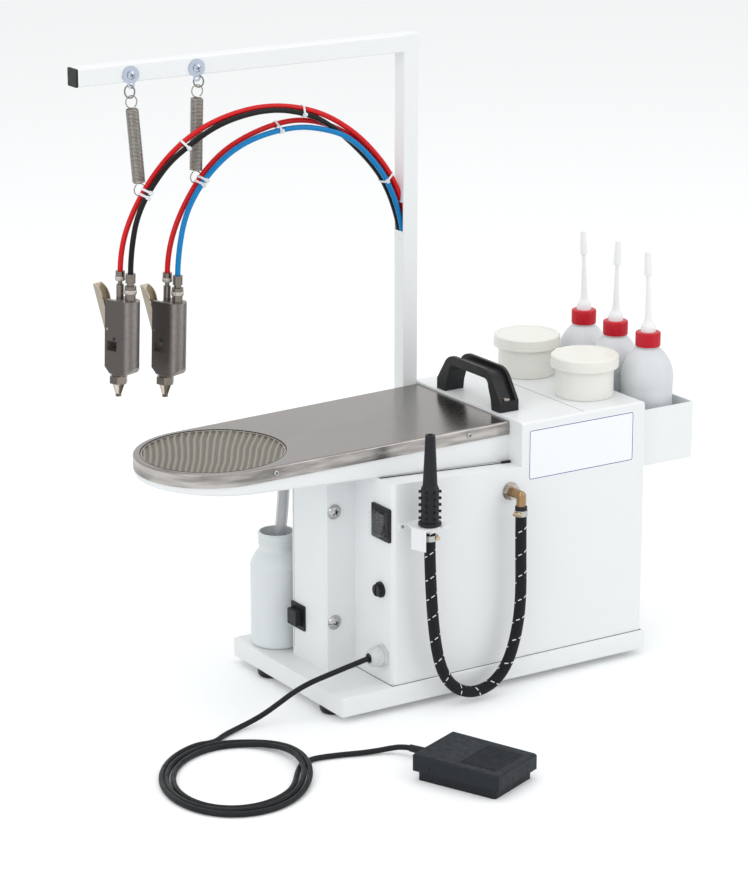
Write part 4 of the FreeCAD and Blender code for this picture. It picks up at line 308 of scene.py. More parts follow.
def plated(name, colour, roughness):
    """Bright plated metal with faint handling marks."""
    return plain(name, colour, roughness, (180, 0.12), (240, roughness * 0.7, roughness * 1.6),
                 (420, 3, 0.00002, 0.2), metallic=1.0)


def moulded(name, colour, roughness=0.42, grain=900, depth=0.00006, mottle=0.05, gloss=0.5):
    """Moulded plastic with a spark-eroded grain."""
    return plain(name, colour, roughness, (40, mottle), (160, roughness * 0.85, roughness * 1.2),
                 (grain, 2, depth, 0.5), gloss=gloss)


def hose_skin(name, colour):
    """Smooth polyurethane tube with a soft gloss."""
    return plain(name, colour, 0.26, (60, 0.1), (90, 0.2, 0.32), (300, 3, 0.00004, 0.2), gloss=0.22)


def cord_skin(name, colour):
    """Matt rubber cord."""
    return plain(name, colour, 0.46, (50, 0.15), (120, 0.38, 0.55), (1100, 3, 0.00008, 0.4), gloss=0.25)


def milky(name, colour):
    """Milky polyethylene: nearly opaque, with a soft gloss."""
    return plain(name, colour, 0.36, (25, 0.02), (40, 0.34, 0.42), (45, 1, 0.00002, 0.12), IOR=1.4)


def clear(name, colour, film, roughness=0.08):
    """Clear plastic as a thin film: what lies behind shows through it."""
    return plain(name, colour, roughness, (20, 0.03), (30, roughness * 0.7, roughness * 1.3),
                 (25, 0, 0.00001, 0.1), Alpha=film)


def board_steel(name, colour):
    """Brushed top, and an upright rim with painted reflection: soft, cloudy streaks lighter and darker than
    the top.
    """
    brushed = (1, 90, 90)
    finish = Finish(name, colour, 0.24, metallic=1.0)
    top = finish.mixed(finish.noise(30, brushed), scaled(colour, 0.9), tuple(colour))
    # Painted reflection on the upright rim: cloudy streaks from three quarters to 1.7 times the colour,
    # where the surface stands upright rather than facing up
    reflection_cloud = finish.ranged(finish.noise(16, (1, 1, 7)), 0, 1, 0.36, 0.62)
    side = finish.mixed(reflection_cloud, scaled(colour, 0.75), scaled(colour, 1.7))
    finish.dress(finish.mixed(finish.ranged(finish.facing("Z"), 0, 1, 0.6, 0.95), side, top))
    finish.set("Anisotropic", 0.35)
    return finish.surfaced((40, 0.18, 0.3), (55, 4, 0.00002, 0.25), brushed)


# Painted highlights and reflections on bent metal: where the surface faces (0 to 1) and how many times its
# base colour it shows there
CASTING_PAINTED_REFLECTIONS = ((0.0, 0.66), (0.09, 0.66), (0.2, 1.9), (0.36, 1.15), (0.56, 2.1), (0.73, 1.35), (0.88, 1.6),
                 (1.0, 0.7))
LEVER_PAINTED_REFLECTIONS = ((0.0, 0.75), (0.14, 0.75), (0.24, 1.5), (0.5, 1.4), (1.0, 0.8))
CONE_PAINTED_REFLECTIONS = ((0.0, 1.8), (0.12, 3.4), (0.3, 2.4), (0.5, 1.9), (0.62, 0.6), (1.0, 0.4))
COLLAR_PAINTED_REFLECTIONS = ((0.0, 0.6), (0.3, 0.45), (0.55, 1.9), (0.75, 0.8), (1.0, 0.5))


def nozzle_metal(name, colour):
    """Dark nickel collar over a bright turned cone, whose sides face down; both carry painted highlights and
    reflections by which way they face.
    """
    finish = Finish(name, colour, 0.28, metallic=1.0)
    sideways = finish.facing("X")
    downwards = finish.ranged(finish.facing("Z"), 1, 0, 0.4, 0.47)
    collar, cone = (finish.bands(sideways, stops) for stops in (COLLAR_PAINTED_REFLECTIONS, CONE_PAINTED_REFLECTIONS))
    finish.dress(finish.mixed(downwards, collar, cone))
    return finish.surfaced((120, 0.22, 0.34), (400, 1, 0.00002, 0.2))


def lever_steel(name, colour):
    """Polished pressing with painted highlights, brighter where it bows than on its flat side, and dark
    streaks of painted reflection.
    """
    finish = Finish(name, colour, 0.24, metallic=1.0)
    # Dark streaks of painted reflection, mixed up to 35 percent towards a darker colour
    reflection_streaks = finish.ranged(finish.noise(60, (1, 1, 0.3), 1), 0, 0.35, 0.45, 0.65)
    finish.dress(finish.mixed(reflection_streaks, finish.bands(finish.facing("X"), LEVER_PAINTED_REFLECTIONS), scaled(colour, 0.55)))
    return finish.surfaced((90, 0.18, 0.3), (200, 1, 0.00002, 0.2))


def cast_metal(name, colour):
    """Blasted casting: grainy, dull, a little uneven, with painted highlights and shade by which way it
    faces.
    """
    finish = Finish(name, colour, 0.4, metallic=0.7)
    speckle = finish.ranged(finish.noise(220), 0, 0.3)
    finish.dress(finish.mixed(speckle, finish.bands(finish.facing("X"), CASTING_PAINTED_REFLECTIONS), scaled(colour, 0.6)))
    return finish.surfaced((300, 0.32, 0.46), (1500, 4, 0.00012, 0.5))


def woven_gauze(name, bright, dark=linear(102, 97, 90)):
    """Fine wire gauze with painted light: a painted highlight on the rib crests and painted shade in the
    valleys.
    """
    finish = Finish(name, bright, 0.42, metallic=0.8)
    crest = finish.node("Attribute")
    crest.attribute_name = "crest"
    # Painted highlight on the rib crests and painted shade in the valleys, by the crest attribute
    base = finish.mixed(crest.outputs["Fac"], dark, bright)
    speckle = finish.ranged(finish.noise(1300, detail=1), 0, 1)
    finish.dress(finish.mixed(0.32, base, finish.mixed(speckle, scaled(dark, 0.55), bright)))
    for axis in "XY":
        finish.bump(finish.waves(330, axis, finish.coordinates["Object"]), 0.0002, 0.3)
    return finish.material


def braid_skin(name, colour, thread=linear(32, 34, 39)):
    """Black textile braid: crossed threads over a dull ground."""
    finish = Finish(name, colour, 0.62, gloss=0.2)
    mapping = finish.node("Mapping", Scale=(150, 9, 1), Rotation=(0, 0, 0.6))
    finish.link(finish.coordinates["UV"], mapping.inputs["Vector"])
    left, right = (finish.waves(1.6, axis, mapping.outputs["Vector"]) for axis in "XY")
    finish.dress(finish.mixed(left, colour, thread))
    finish.bump(left, 0.0003, 0.5)
    finish.bump(right, 0.0003, 0.5)
    return finish.material


def seen_directly(tree):
    """One where a surface or the sky is seen, mirrored or seen through; zero where it only lights."""
    path = tree.nodes.new("ShaderNodeLightPath")
    shown = path.outputs["Is Camera Ray"]
    for socket in ("Is Glossy Ray", "Is Transmission Ray"):
        either = tree.nodes.new("ShaderNodeMath")
        either.operation = "MAXIMUM"
        tree.links.new(shown, either.inputs[0])
        tree.links.new(path.outputs[socket], either.inputs[1])
        shown = either.outputs[0]
    return shown


def floor_finish(name, colour, glow=0.12):
    """Pale floor: plain white to the camera where it is lit, darker only in shadow."""
    finish = Finish(name, colour, 0.8)
    finish.shades(2, 0.01)
    finish.set("Emission Color", (1, 1, 1, 1))
    finish.dress(finish.ranged(seen_directly(finish.tree), 0, glow, 0, 1), "Emission Strength")
    return finish.material


# Each finish: its material's name, a setting or a display colour, and what its maker takes besides
FINISH_TABLE = (
    (powder_coat, {"paint": ("white_powder_coat", "paint"), "bracket": ("bracket_paint", "paint")}),
    (board_steel, {"steel": ("brushed_stainless", "steel")}),
    (nozzle_metal, {"nozzle": ("gun_nozzle_metal", (128, 120, 113))}),
    (lever_steel, {"lever": ("polished_lever", (198, 188, 172))}),
    (cast_metal, {"casting": ("gun_casting", "casting"), "machinery": ("machinery_grey", (120, 122, 124))}),
    (woven_gauze, {"gauze": ("screen_gauze", (172, 165, 152))}),
    (braid_skin, {"braid": ("braided_sleeve", (12, 13, 16))}),
    (plated, {
        "zinc": ("zinc_plated", (188, 197, 212), 0.24),
        "chrome": ("chrome_plated", (186, 186, 186), 0.14),
        "nickel": ("nickel_plated", (190, 185, 178), 0.22),
        "dark_nickel": ("dark_nickel_plated", (128, 120, 113), 0.26),
        "link_wire": ("link_wire", (140, 138, 136), 0.26),
        "band": ("clamp_band_steel", (188, 188, 184), 0.22),
        "pale_brass": ("pale_brass", (204, 184, 156), 0.24),
        "brass": ("turned_brass", (166, 134, 98), 0.26),
        "spring": ("spring_steel", (164, 159, 153), 0.32),
        "rim": ("screen_rim", (188, 186, 180), 0.26),
    }),
    (cord_skin, {
        "rubber": ("black_rubber", (30, 33, 38)),
        "cord": ("cord_rubber", (20, 22, 25)),
        "gasket": ("screen_gasket", (26, 26, 27)),
    }),
    (hose_skin, {
        "red_hose": ("red_hose_skin", "red_hose"),
        "black_hose": ("black_hose_skin", (14, 12, 13)),
        "blue_hose": ("blue_hose_skin", "blue_hose"),
    }),
    (moulded, {
        "black": ("black_plastic", "black", 0.42, 900, 0.00006, 0.05, 0.28),
        "pedal": ("pedal_plastic", (27, 32, 38), 0.5, 1400, 0.00008, 0.05, 0.26),
        "gloss_black": ("gloss_black_plastic", (22, 23, 26), 0.24, 60, 0.00002, 0.05, 0.35),
        "fleck": ("fleck_thread", (226, 228, 230), 0.6),
        "tie": ("natural_nylon", (226, 230, 234), 0.35, 500),
        "jar": ("jar_plastic", "jar", 0.34, 260, 0.00003, 0.015),
        "cap": ("cap_plastic", "cap", 0.34, 90, 0.00002, 0.02, 0.35),
        "gland": ("grey_gland_plastic", (206, 209, 210), 0.4),
        "white": ("white_plastic", (236, 236, 234), 0.35, 500),
        "panel": ("label_panel", (244, 246, 249), 0.34, 60, 0.00001, 0.01),
        "border": ("label_border", "border", 0.4, 500),
        # Near-black that paints the shade in screw recesses, seams, gaps and the guns' notches; the pedal
        # pin wears it too
        "recess": ("dark_recess", (18, 18, 19), 0.7),
    }),
    (milky, {
        "bottle": ("bottle_polythene", "bottle"),
        "waste": ("waste_polythene", (224, 229, 230)),
        "spout": ("spout_polythene", (238, 239, 240)),
    }),
    (clear, {
        "tube": ("drain_tube_vinyl", (196, 198, 202), 0.5),
        "cover": ("switch_cover_vinyl", (226, 229, 231), 0.035),
    }),
)
FINISHES = {}

NODE_FINISHES = {
    "paint": "base_pan cabinet_shell service_panel duct_column board_pan bottle_tray mast_frame",
    "bracket": "nozzle_holder",
    "steel": "board_top",
    "rubber": "rubber_feet blow_nozzle pedal_relief",
    "chrome": "column_cap_screws",
    "zinc": "hanger_bolts",
    "recess": "pedal_pin",
    "nickel": "outlet_flange",
    "white": "nozzle_nut",
    "dark_nickel": "gun_hose_fittings",
    "nozzle": "gun_nozzles",
    "brass": "brass_elbow",
    "casting": "gun_body_left gun_body_right",
    "lever": "gun_lever_left gun_lever_right",
    "black": "carry_handle arm_end_plug button_bezel push_button fuse_holder fuse_cap switch_bezel",
    "pedal": "pedal_base pedal_treadle",
    "gloss_black": "switch_rocker",
    "cover": "switch_boot",
    "gland": "cable_gland",
    "jar": "jar_rear jar_rear_lid jar_front jar_front_lid",
    "bottle": "bottle_1 bottle_2 bottle_3",
    "waste": "waste_bottle",
    "tube": "drain_tube",
    "machinery": "suction_blower solenoid_valves",
}


# ---------------------------------------------------------------- mesh helpers
def stand(name, data, finish, body="station"):
    """Put a piece in the scene, dressed and riding on its body."""
    piece = bpy.data.objects.new(name, data)
    bpy.context.scene.collection.objects.link(piece)
    data.materials.append(FINISHES[finish])
    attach(piece, body)
    return piece


def mesh_piece(name, bm, finish, body="station"):
    """Close a bmesh into a piece, smooth but for its sharp edges."""
    bmesh.ops.remove_doubles(bm, verts=bm.verts, dist=1e-7)
    bmesh.ops.recalc_face_normals(bm, faces=bm.faces)
    sharp = math.radians(35)
    for face in bm.faces:
        face.smooth = True
    for edge in bm.edges:
        edge.smooth = edge.is_boundary or edge.calc_face_angle(0) < sharp
    mesh = bpy.data.meshes.new(name)
    bm.to_mesh(mesh)
    bm.free()
    return stand(name, mesh, finish, body)


def lathe(bm, profile, place, steps=48, flutes=0, depth=0.0):
    """Turn a (radius, height) outline about a frame's Z, with optional flutes."""
    rings = []
    turns = [math.tau * step / steps for step in range(steps)]
    for radius, height in profile:
        if radius < 1e-3:
            rings.append([bm.verts.new(place @ mm(0, 0, height))])
            continue
        ring = []
        for turn in turns:
            reach = radius - depth * max(0, math.cos(flutes * turn)) if flutes else radius
            ring.append(bm.verts.new(place @ mm(reach * math.cos(turn), reach * math.sin(turn), height)))
        rings.append(ring)
    for lower, upper in zip(rings, rings[1:]):
        for step in range(steps):
            after = (step + 1) % steps
            corners = list(dict.fromkeys((lower[step % len(lower)], lower[after % len(lower)],
                                          upper[after % len(upper)], upper[step % len(upper)])))
            if len(corners) > 2:
                bm.faces.new(corners)


def turned(name, profile, finish, *places, body="station", **cut):
    """Piece of one outline turned on each of some frames."""
    bm = bmesh.new()
    for place in places:
        lathe(bm, profile, place, **cut)
    return mesh_piece(name, bm, finish, body)


def block(bm, size, place, bevel=0):
    """Box centred on a frame, with bevelled edges."""
    made = bmesh.ops.create_cube(bm, size=1.0, matrix=place @ Matrix.Diagonal((*mm(*size), 1)))
    if bevel:
        edges = {edge for vert in made["verts"] for edge in vert.link_edges}
        bmesh.ops.bevel(bm, geom=list(edges), offset=bevel * MM, segments=2, affect="EDGES", profile=0.5)


def blocks(name, finish, *parts):
    """Piece of boxes, each a size, a frame and perhaps a bevel."""
    bm = bmesh.new()
    for part in parts:
        block(bm, *part)
    return mesh_piece(name, bm, finish)


def ring(bm, place, corners, height):
    """Row of vertices over flat corners, at a height on a frame."""
    return [bm.verts.new(place @ mm(x, y, height)) for x, y in corners]


def loft(bm, rings, capped=False):
    """Faces from each ring to the next; the last meets the first unless both are capped."""
    for first, second in zip(rings, rings[1:] if capped else rings[1:] + rings[:1]):
        for index in range(len(first)):
            after = (index + 1) % len(first)
            bm.faces.new((first[index], first[after], second[after], second[index]))
    if capped:
        bm.faces.new(rings[0])
        bm.faces.new(rings[-1])


def rounded_corners(width, height, radius, steps=6):
    """Corner points of a rectangle with round corners, centred on zero."""
    points = []
    for turn, (x, y) in enumerate(((1, 1), (-1, 1), (-1, -1), (1, -1))):
        for step in range(steps + 1):
            angle = math.radians(90 * turn + 90 * step / steps)
            points.append((x * (width / 2 - radius) + radius * math.cos(angle),
                           y * (height / 2 - radius) + radius * math.sin(angle)))
    return points


def border_piece(name, place, outer, inner, heights, finish):
    """Raised line between two outlines, with four heights from its outer foot to its inner foot."""
    bm = bmesh.new()
    rows = zip((outer, outer, inner, inner), heights)
    loft(bm, [ring(bm, place, corners, height) for corners, height in rows])
    mesh_piece(name, bm, finish)


def hull(points):
    """Convex outline of flat points, anticlockwise."""
    def half(ordered):
        chain = []
        for point in ordered:
            while len(chain) > 1 and turn_of(chain[-2], chain[-1], point) <= 0:
                chain.pop()
            chain.append(point)
        return chain[:-1]

    points = sorted(set(points))
    return half(points) + half(reversed(points))


def turn_of(a, b, c):
    return (b[0] - a[0]) * (c[1] - a[1]) - (b[1] - a[1]) * (c[0] - a[0])


def cross_recess(name, arm, width, depth, *places):
    """Cross-shaped screw recesses, each a dark inlay on top of a head that paints the shade in the recess.
    """
    size = (2 * arm, width, depth)
    return blocks(name, "recess", *((size, place @ Matrix.Rotation(math.radians(turn), 4, "Z"))
                                    for place in places for turn in (20, 110)))


def pan_head(name, place, radius, height, finish):
    """Turned pan head; the frame's Z points out of the surface."""
    shares = ((0, 0), (1, 0), (1, 0.35), (0.86, 0.75), (0.55, 0.96), (0, 1))
    return turned(name, [(radius * x, height * z) for x, z in shares], finish, place, steps=32)


# ---------------------------------------------------------------- cord helpers
def wire(name, points, radius, facets, kind="POLY"):
    """Round wire through some points, as a curve and its one spline."""
    curve = bpy.data.curves.new(name, "CURVE")
    curve.dimensions = "3D"
    curve.bevel_depth = radius
    curve.bevel_resolution = facets
    line = curve.splines.new(kind)
    line.points.add(len(points) - 1)
    for point, place in zip(line.points, points):
        point.co = (*place, 1)
    return curve, line


def spline_cord(name, route, radius, finish):
    """Hose or cord on one smooth spline through a given route."""
    curve, line = wire(name, route, radius, 6, "NURBS")
    curve.resolution_u = 8
    curve.use_fill_caps = True
    line.order_u = 3
    line.use_endpoint_u = True
    return stand(name, curve, finish)


def centre_line(cord):
    """Points along a cord's own spline."""
    curve = cord.data.copy()
    curve.bevel_depth = 0
    plain_line = bpy.data.objects.new("centre_line", curve)
    mesh = bpy.data.meshes.new_from_object(plain_line)
    points = [vert.co.copy() for vert in mesh.vertices]
    bpy.data.objects.remove(plain_line)
    bpy.data.meshes.remove(mesh)
    bpy.data.curves.remove(curve)
    return points


def nearest(points, place):
    """The point of a line nearest a place, and the line's direction there."""
    index = min(range(1, len(points) - 1), key=lambda i: (points[i] - place).length)
    return points[index], (points[index + 1] - points[index - 1]).normalized()


# Each gun hose: finish, node that it stands for, length and route from the gun to inside the mast
GUN_HOSES = {
    "red_hose_left": ("red_hose", "red_hoses", 0.587, (
        (-0.3661, 0.0854, 0.4968), (-0.3654, 0.0849, 0.5218), (-0.350, 0.083, 0.563),
        (-0.320, 0.082, 0.605), (-0.2847, 0.081, 0.6352), (-0.2384, 0.081, 0.655),
        (-0.1757, 0.084, 0.6622), (-0.1077, 0.091, 0.6473), (-0.0544, 0.096, 0.6156),
        (-0.0155, 0.101, 0.5776), (0.0056, 0.1055, 0.5475), (0.0181, 0.1075, 0.5185),
        (0.025, 0.1075, 0.491), (0.0258, 0.1075, 0.465))),
    "red_hose_right": ("red_hose", "red_hoses", 0.514, (
        (-0.3075, 0.0854, 0.4873), (-0.3068, 0.0849, 0.5123), (-0.2883, 0.087, 0.5548),
        (-0.257, 0.089, 0.596), (-0.218, 0.091, 0.623), (-0.155, 0.093, 0.640), (-0.105, 0.097, 0.635),
        (-0.0539, 0.102, 0.6106), (-0.0154, 0.107, 0.573), (0.0052, 0.1106, 0.543),
        (0.0178, 0.1128, 0.5147), (0.0236, 0.1135, 0.488), (0.0240, 0.1137, 0.462))),
    "black_hose_left": ("black_hose", "black_hose", 0.573, (
        (-0.3604, 0.0722, 0.4954), (-0.3598, 0.0717, 0.5204), (-0.3475, 0.075, 0.5649),
        (-0.316, 0.0745, 0.6065), (-0.287, 0.076, 0.6263), (-0.241, 0.076, 0.6503),
        (-0.1782, 0.0785, 0.6585), (-0.1225, 0.0865, 0.6455), (-0.0905, 0.0945, 0.6285),
        (-0.0605, 0.0998, 0.6062), (-0.0222, 0.1051, 0.5697), (-0.0022, 0.1098, 0.5403),
        (0.0098, 0.1126, 0.5135), (0.0172, 0.1137, 0.488), (0.0176, 0.1137, 0.463))),
    "blue_hose_right": ("blue_hose", "blue_hose", 0.500, (
        (-0.3018, 0.0722, 0.4859), (-0.3012, 0.0717, 0.5109), (-0.2848, 0.080, 0.5578),
        (-0.2515, 0.082, 0.5979), (-0.2068, 0.084, 0.6245), (-0.1416, 0.086, 0.634),
        (-0.092, 0.0905, 0.6232), (-0.0594, 0.094, 0.6085), (-0.0215, 0.099, 0.5722),
        (-0.0018, 0.1035, 0.5424), (0.0102, 0.1062, 0.515), (0.0168, 0.1072, 0.489),
        (0.0175, 0.1072, 0.463))),
}
BRAIDED_ROUTE = (
    (0.0158, -0.1385, 0.2215), (0.0158, -0.1385, 0.1785), (0.0176, -0.1385, 0.112),
    (0.0118, -0.1385, 0.0696), (0.0, -0.1385, 0.0364), (-0.0175, -0.1385, 0.0178),
    (-0.0395, -0.1385, 0.0108), (-0.0615, -0.1385, 0.0148), (-0.080, -0.1385, 0.0288),
    (-0.0925, -0.1385, 0.052), (-0.1004, -0.1385, 0.090), (-0.1054, -0.1392, 0.141),
    (-0.1085, -0.1405, 0.189), (-0.1085, -0.1405, 0.214))
PEDAL_CORD_FIRST = (
    (-0.1605, -0.097, 0.062), (-0.1853, -0.0966, 0.0576), (-0.210, -0.095, 0.0525),
    (-0.234, -0.091, 0.046), (-0.2515, -0.086, 0.0373), (-0.2665, -0.0795, 0.0255),
    (-0.2825, -0.074, 0.014), (-0.3008, -0.0715, 0.0066), (-0.3205, -0.074, 0.0034),
    (-0.341, -0.0825, 0.0033), (-0.359, -0.095, 0.0033))
PEDAL_CORD_SECOND = (
    (-0.3215, -0.2085, 0.0033), (-0.3075, -0.1965, 0.0033), (-0.291, -0.1925, 0.0033),
    (-0.2735, -0.196, 0.0033), (-0.2563, -0.2011, 0.0033), (-0.2399, -0.2073, 0.0034),
    (-0.2235, -0.2126, 0.0042), (-0.2085, -0.2185, 0.0062), (-0.2007, -0.2262, 0.0085),
    (-0.1961, -0.2359, 0.0095))

# The coil on the floor: an oval spiral, wound inwards; angles in degrees
COIL_CENTRE = Vector((-0.387, -0.191, CORD_RADIUS + 0.2 * MM))
COIL_LONG = SLANT.normalized()
COIL_OUTER = (108.5 * MM, 83.0 * MM)
COIL_INNER = (84.0 * MM, 66.5 * MM)
COIL_START = 36
COIL_SWEEP = 934
COIL_STEP = 22.5
COIL_HUMP = 294.5
COIL_HUMP_HEIGHT = 6.4 * MM
COIL_HUMP_REACH = 58
COIL_HUMP_SLOPE = 45
COIL_HUMP_END = 0.85
COIL_WANDER = 1.6 * MM


def coil_points():
    """Control points of the turns, each inside the one before, with a hump where the lead passes under."""
    across = Vector((-COIL_LONG.y, COIL_LONG.x, 0))
    count = round(COIL_SWEEP / COIL_STEP)
    points = []
    for index in range(count):
        part = index / (count - 1)
        turn = math.radians(COIL_START + COIL_SWEEP * part)
        long_reach, short_reach = (outer + (inner - outer) * part
                                   for outer, inner in zip(COIL_OUTER, COIL_INNER))
        wander = COIL_WANDER * math.sin(1.7 * turn + 0.6)
        apart = (math.degrees(turn) - COIL_HUMP + 180) % 360 - 180
        share = max(0, min(1, (COIL_HUMP_REACH - abs(apart)) / COIL_HUMP_SLOPE))
        hump = COIL_HUMP_HEIGHT * share if part < COIL_HUMP_END else 0
        points.append(Vector((0, 0, hump)) + COIL_CENTRE + COIL_LONG * (long_reach + wander) * math.cos(turn)
                      + across * (short_reach + wander / 2) * math.sin(turn))
    return points


# ---------------------------------------------------------------- operators: camera and cords
class STATION_OT_camera(bpy.types.Operator):
    """Stand the camera at the product shot's height and angle"""
    bl_idname = "station.camera"
    bl_label = "Camera"

    PLACE = (-1.9752, -2.9385, 1.3192)
    TILT_DOWN, TURN = 16.614, -32.661

    def execute(self, context):
        data = bpy.data.cameras.new("camera")
        data.sensor_fit = "VERTICAL"
        data.sensor_height = 36
        data.lens = context.scene.station_stage.focal_length
        data.clip_end = 50
        camera = bpy.data.objects.new("camera", data)
        camera.location = self.PLACE
        camera.rotation_euler = (math.radians(90 - self.TILT_DOWN), 0, math.radians(self.TURN))
        context.scene.collection.objects.link(camera)
        context.scene.camera = camera
        return {"FINISHED"}


class STATION_OT_finishes(bpy.types.Operator):
    """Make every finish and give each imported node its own"""
    bl_idname = "station.finishes"
    bl_label = "Finishes"

    def execute(self, context):
        colours = context.scene.station_colours
        for make, finishes in FINISH_TABLE:
            for finish, (name, colour, *rest) in finishes.items():
                shade = tuple(getattr(colours, colour)) if isinstance(colour, str) else linear(*colour)
                FINISHES[finish] = make(name, shade, *rest)
        for finish, nodes in NODE_FINISHES.items():
            for node in nodes.split():
                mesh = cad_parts[node].data
                mesh.materials.clear()
                mesh.materials.append(FINISHES[finish])
        return {"FINISHED"}


class STATION_OT_gun_hoses(bpy.types.Operator):
    """Red, black and blue hoses from the guns over to the mast"""
    bl_idname = "station.gun_hoses"
    bl_label = "Gun hoses"

    def execute(self, context):
        for name, (finish, node, length, route) in GUN_HOSES.items():
            hose = spline_cord(name, route, HOSE_RADIUS, finish)
            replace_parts(hose, node)
        return {"FINISHED"}


class STATION_OT_braided_hose(bpy.types.Operator):
    """Braided blow-off hose with its light tracer flecks"""
    bl_idname = "station.braided_hose"
    bl_label = "Braided hose"

    ROW_PITCH = 26 * MM
    FIRST_ROW = 0.9
    FIRST_STITCH = math.radians(12)
    SLOPE = 0.55
    STITCHES = 6
    STITCH = (4.6, 1.2, 0.6)

    def execute(self, context):
        hose = spline_cord("braided_blow_hose", BRAIDED_ROUTE, BRAID_RADIUS, "braid")
        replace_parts(hose, "braided_hose")
        self.flecks(centre_line(hose))
        return {"FINISHED"}

    def flecks(self, points):
        """Rows of slanted stitches, each row one turn of a tracer thread round the braid."""
        bm = bmesh.new()
        travelled = 0.0
        row = 0
        for before, after in zip(points, points[1:]):
            travelled += (after - before).length
            if travelled < (row + self.FIRST_ROW) * self.ROW_PITCH:
                continue
            row += 1
            along = (after - before).normalized()
            across = along.cross(Vector((0, 1, 0))).normalized()
            for stitch in range(self.STITCHES):
                turn = self.FIRST_STITCH + math.tau * stitch / self.STITCHES
                rise = self.SLOPE * BRAID_RADIUS * (((turn + math.pi) % math.tau) - math.pi)
                centre, here = nearest(points, before + along * rise)
                centre += here * (before + along * rise - centre).dot(here)
                out = across * math.cos(turn) + along.cross(across) * math.sin(turn)
                out = (out - here * out.dot(here)).normalized()
                lean = (here.cross(out) + here * self.SLOPE).normalized()
                place = axes(lean, out.cross(lean), out, centre + out * (BRAID_RADIUS - 0.05 * MM))
                block(bm, self.STITCH, place, 0.25)
        mesh_piece("hose_tracer_flecks", bm, "fleck")


class STATION_OT_pedal_cord(bpy.types.Operator):
    """Pedal cord: gland, loose coil on the floor and on to the pedal"""
    bl_idname = "station.pedal_cord"
    bl_label = "Pedal cord"

    def execute(self, context):
        route = [*PEDAL_CORD_FIRST, *coil_points(), *PEDAL_CORD_SECOND]
        cord = spline_cord("pedal_lead", route, CORD_RADIUS, "cord")
        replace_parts(cord, "pedal_cord", "cord_coil")
        return {"FINISHED"}


class STATION_OT_hose_ties(bpy.types.Operator):
    """Nylon ties that hold the hoses together and to the springs"""
    bl_idname = "station.hose_ties"
    bl_label = "Hose ties"

    LEFT = ("red_hose_left", "black_hose_left")
    RIGHT = ("red_hose_right", "blue_hose_right")
    TIES = ((LEFT, (-336, 81, 576)), (LEFT, (-333, 81, 581)), (LEFT, (-284, 79, 628)),
            (LEFT, (-134, 86, 651)), (RIGHT, (-265, 87, 580)), (RIGHT, (-262, 87, 584)),
            (RIGHT, (-165, 90, 635)), (LEFT + RIGHT, (-7.5, 104, 559)))
    LOCK = (4.6, 4.2, 3.4)
    TAIL = (2.4, 1.2, 2.2)

    def execute(self, context):
        sizes = context.scene.station_fittings
        lines = {name: centre_line(bpy.data.objects[name]) for name in self.LEFT + self.RIGHT}
        for number, (hoses, place) in enumerate(self.TIES, 1):
            bm = bmesh.new()
            self.tie(bm, [lines[name] for name in hoses], mm(*place), sizes)
            mesh_piece("hose_tie_%d" % number, bm, "tie")
        return {"FINISHED"}

    def tie(self, bm, lines, place, sizes):
        """Band round the hoses, with its lock head and cut tail towards the front."""
        middle, along = nearest(lines[0], place)
        across = along.cross(Vector((0, 1, 0))).normalized()
        depth = along.cross(across).normalized()
        reach = HOSE_RADIUS + 0.1 * MM
        dots = []
        for line in lines:
            centre = nearest(line, middle)[0] - middle
            for turn in (math.tau * step / 24 for step in range(24)):
                dots.append((round(centre.dot(across) + reach * math.cos(turn), 7),
                             round(centre.dot(depth) + reach * math.sin(turn), 7)))
        outline = hull(dots)
        centre = Vector((sum(x for x, _ in outline), sum(y for _, y in outline))) / len(outline)
        loops = []
        for shift, grow in ((-1, 0), (-1, 1), (1, 1), (1, 0)):
            loop = []
            for x, y in outline:
                flat = Vector((x, y))
                flat += (flat - centre).normalized() * sizes.tie_thickness * grow
                loop.append(bm.verts.new(middle + across * flat.x + depth * flat.y
                                         + along * shift * sizes.tie_width / 2))
            loops.append(loop)
        loft(bm, loops)
        front = min(outline, key=lambda point: (across * point[0] + depth * point[1]).y)
        seat = middle + across * front[0] + depth * front[1]
        out = (across * (front[0] - centre.x) + depth * (front[1] - centre.y)).normalized()
        aside = out.cross(along)
        block(bm, self.LOCK, axes(along, aside, out, seat + out * 1.7 * MM), 0.5)
        block(bm, self.TAIL, axes(along, aside, out, seat + out * 3.6 * MM + aside * 1.2 * MM), 0.2)


# ---------------------------------------------------------------- operators: sheet metal and board
class STATION_OT_base(bpy.types.Operator):
    """Folded base pan with tight corners, and its domed feet"""
    bl_idname = "station.base"
    bl_label = "Base"

    FOOT = ((0, 2.5), (4, 2.5), (4, 0), (11.6, 0), (13.2, 0.7), (14.6, 2.6), (15.4, 5.4))
    FOOT_INSET = 13 * MM

    def execute(self, context):
        low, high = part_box("base_pan")
        wide, deep, _ = (high - low) / MM
        foot, top = low.z / MM, high.z / MM
        # Inset, height and corner radius: flange, outside, top edge, then the top's underside and back
        rows = ((28, foot, 9), (0.8, foot, 3), (0, foot + 0.8, 3), (0, top - 2.2, 3), (0.6, top - 0.7, 3),
                (2.2, top, 3), (2, top - 2, 2), (2, foot + 2, 2), (28, foot + 2, 9))
        bm = bmesh.new()
        middle = Matrix.Translation((low + high) * Vector((0.5, 0.5, 0)))
        rings = [ring(bm, middle, rounded_corners(wide - 2 * inset, deep - 2 * inset, corner), height)
                 for inset, height, corner in rows]
        loft(bm, rings[6:] + rings[:6], capped=True)
        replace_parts(mesh_piece("folded_base_pan", bm, "paint"), "base_pan")
        low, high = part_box("rubber_feet")
        top = high.z / MM + 0.4
        places = [at(x, y, 0) for x in (low.x + self.FOOT_INSET, high.x - self.FOOT_INSET)
                  for y in (low.y + self.FOOT_INSET, high.y - self.FOOT_INSET)]
        feet = turned("domed_feet", (*self.FOOT, (15.5, top), (0, top)), "rubber", *places)
        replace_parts(feet, "rubber_feet")
        return {"FINISHED"}


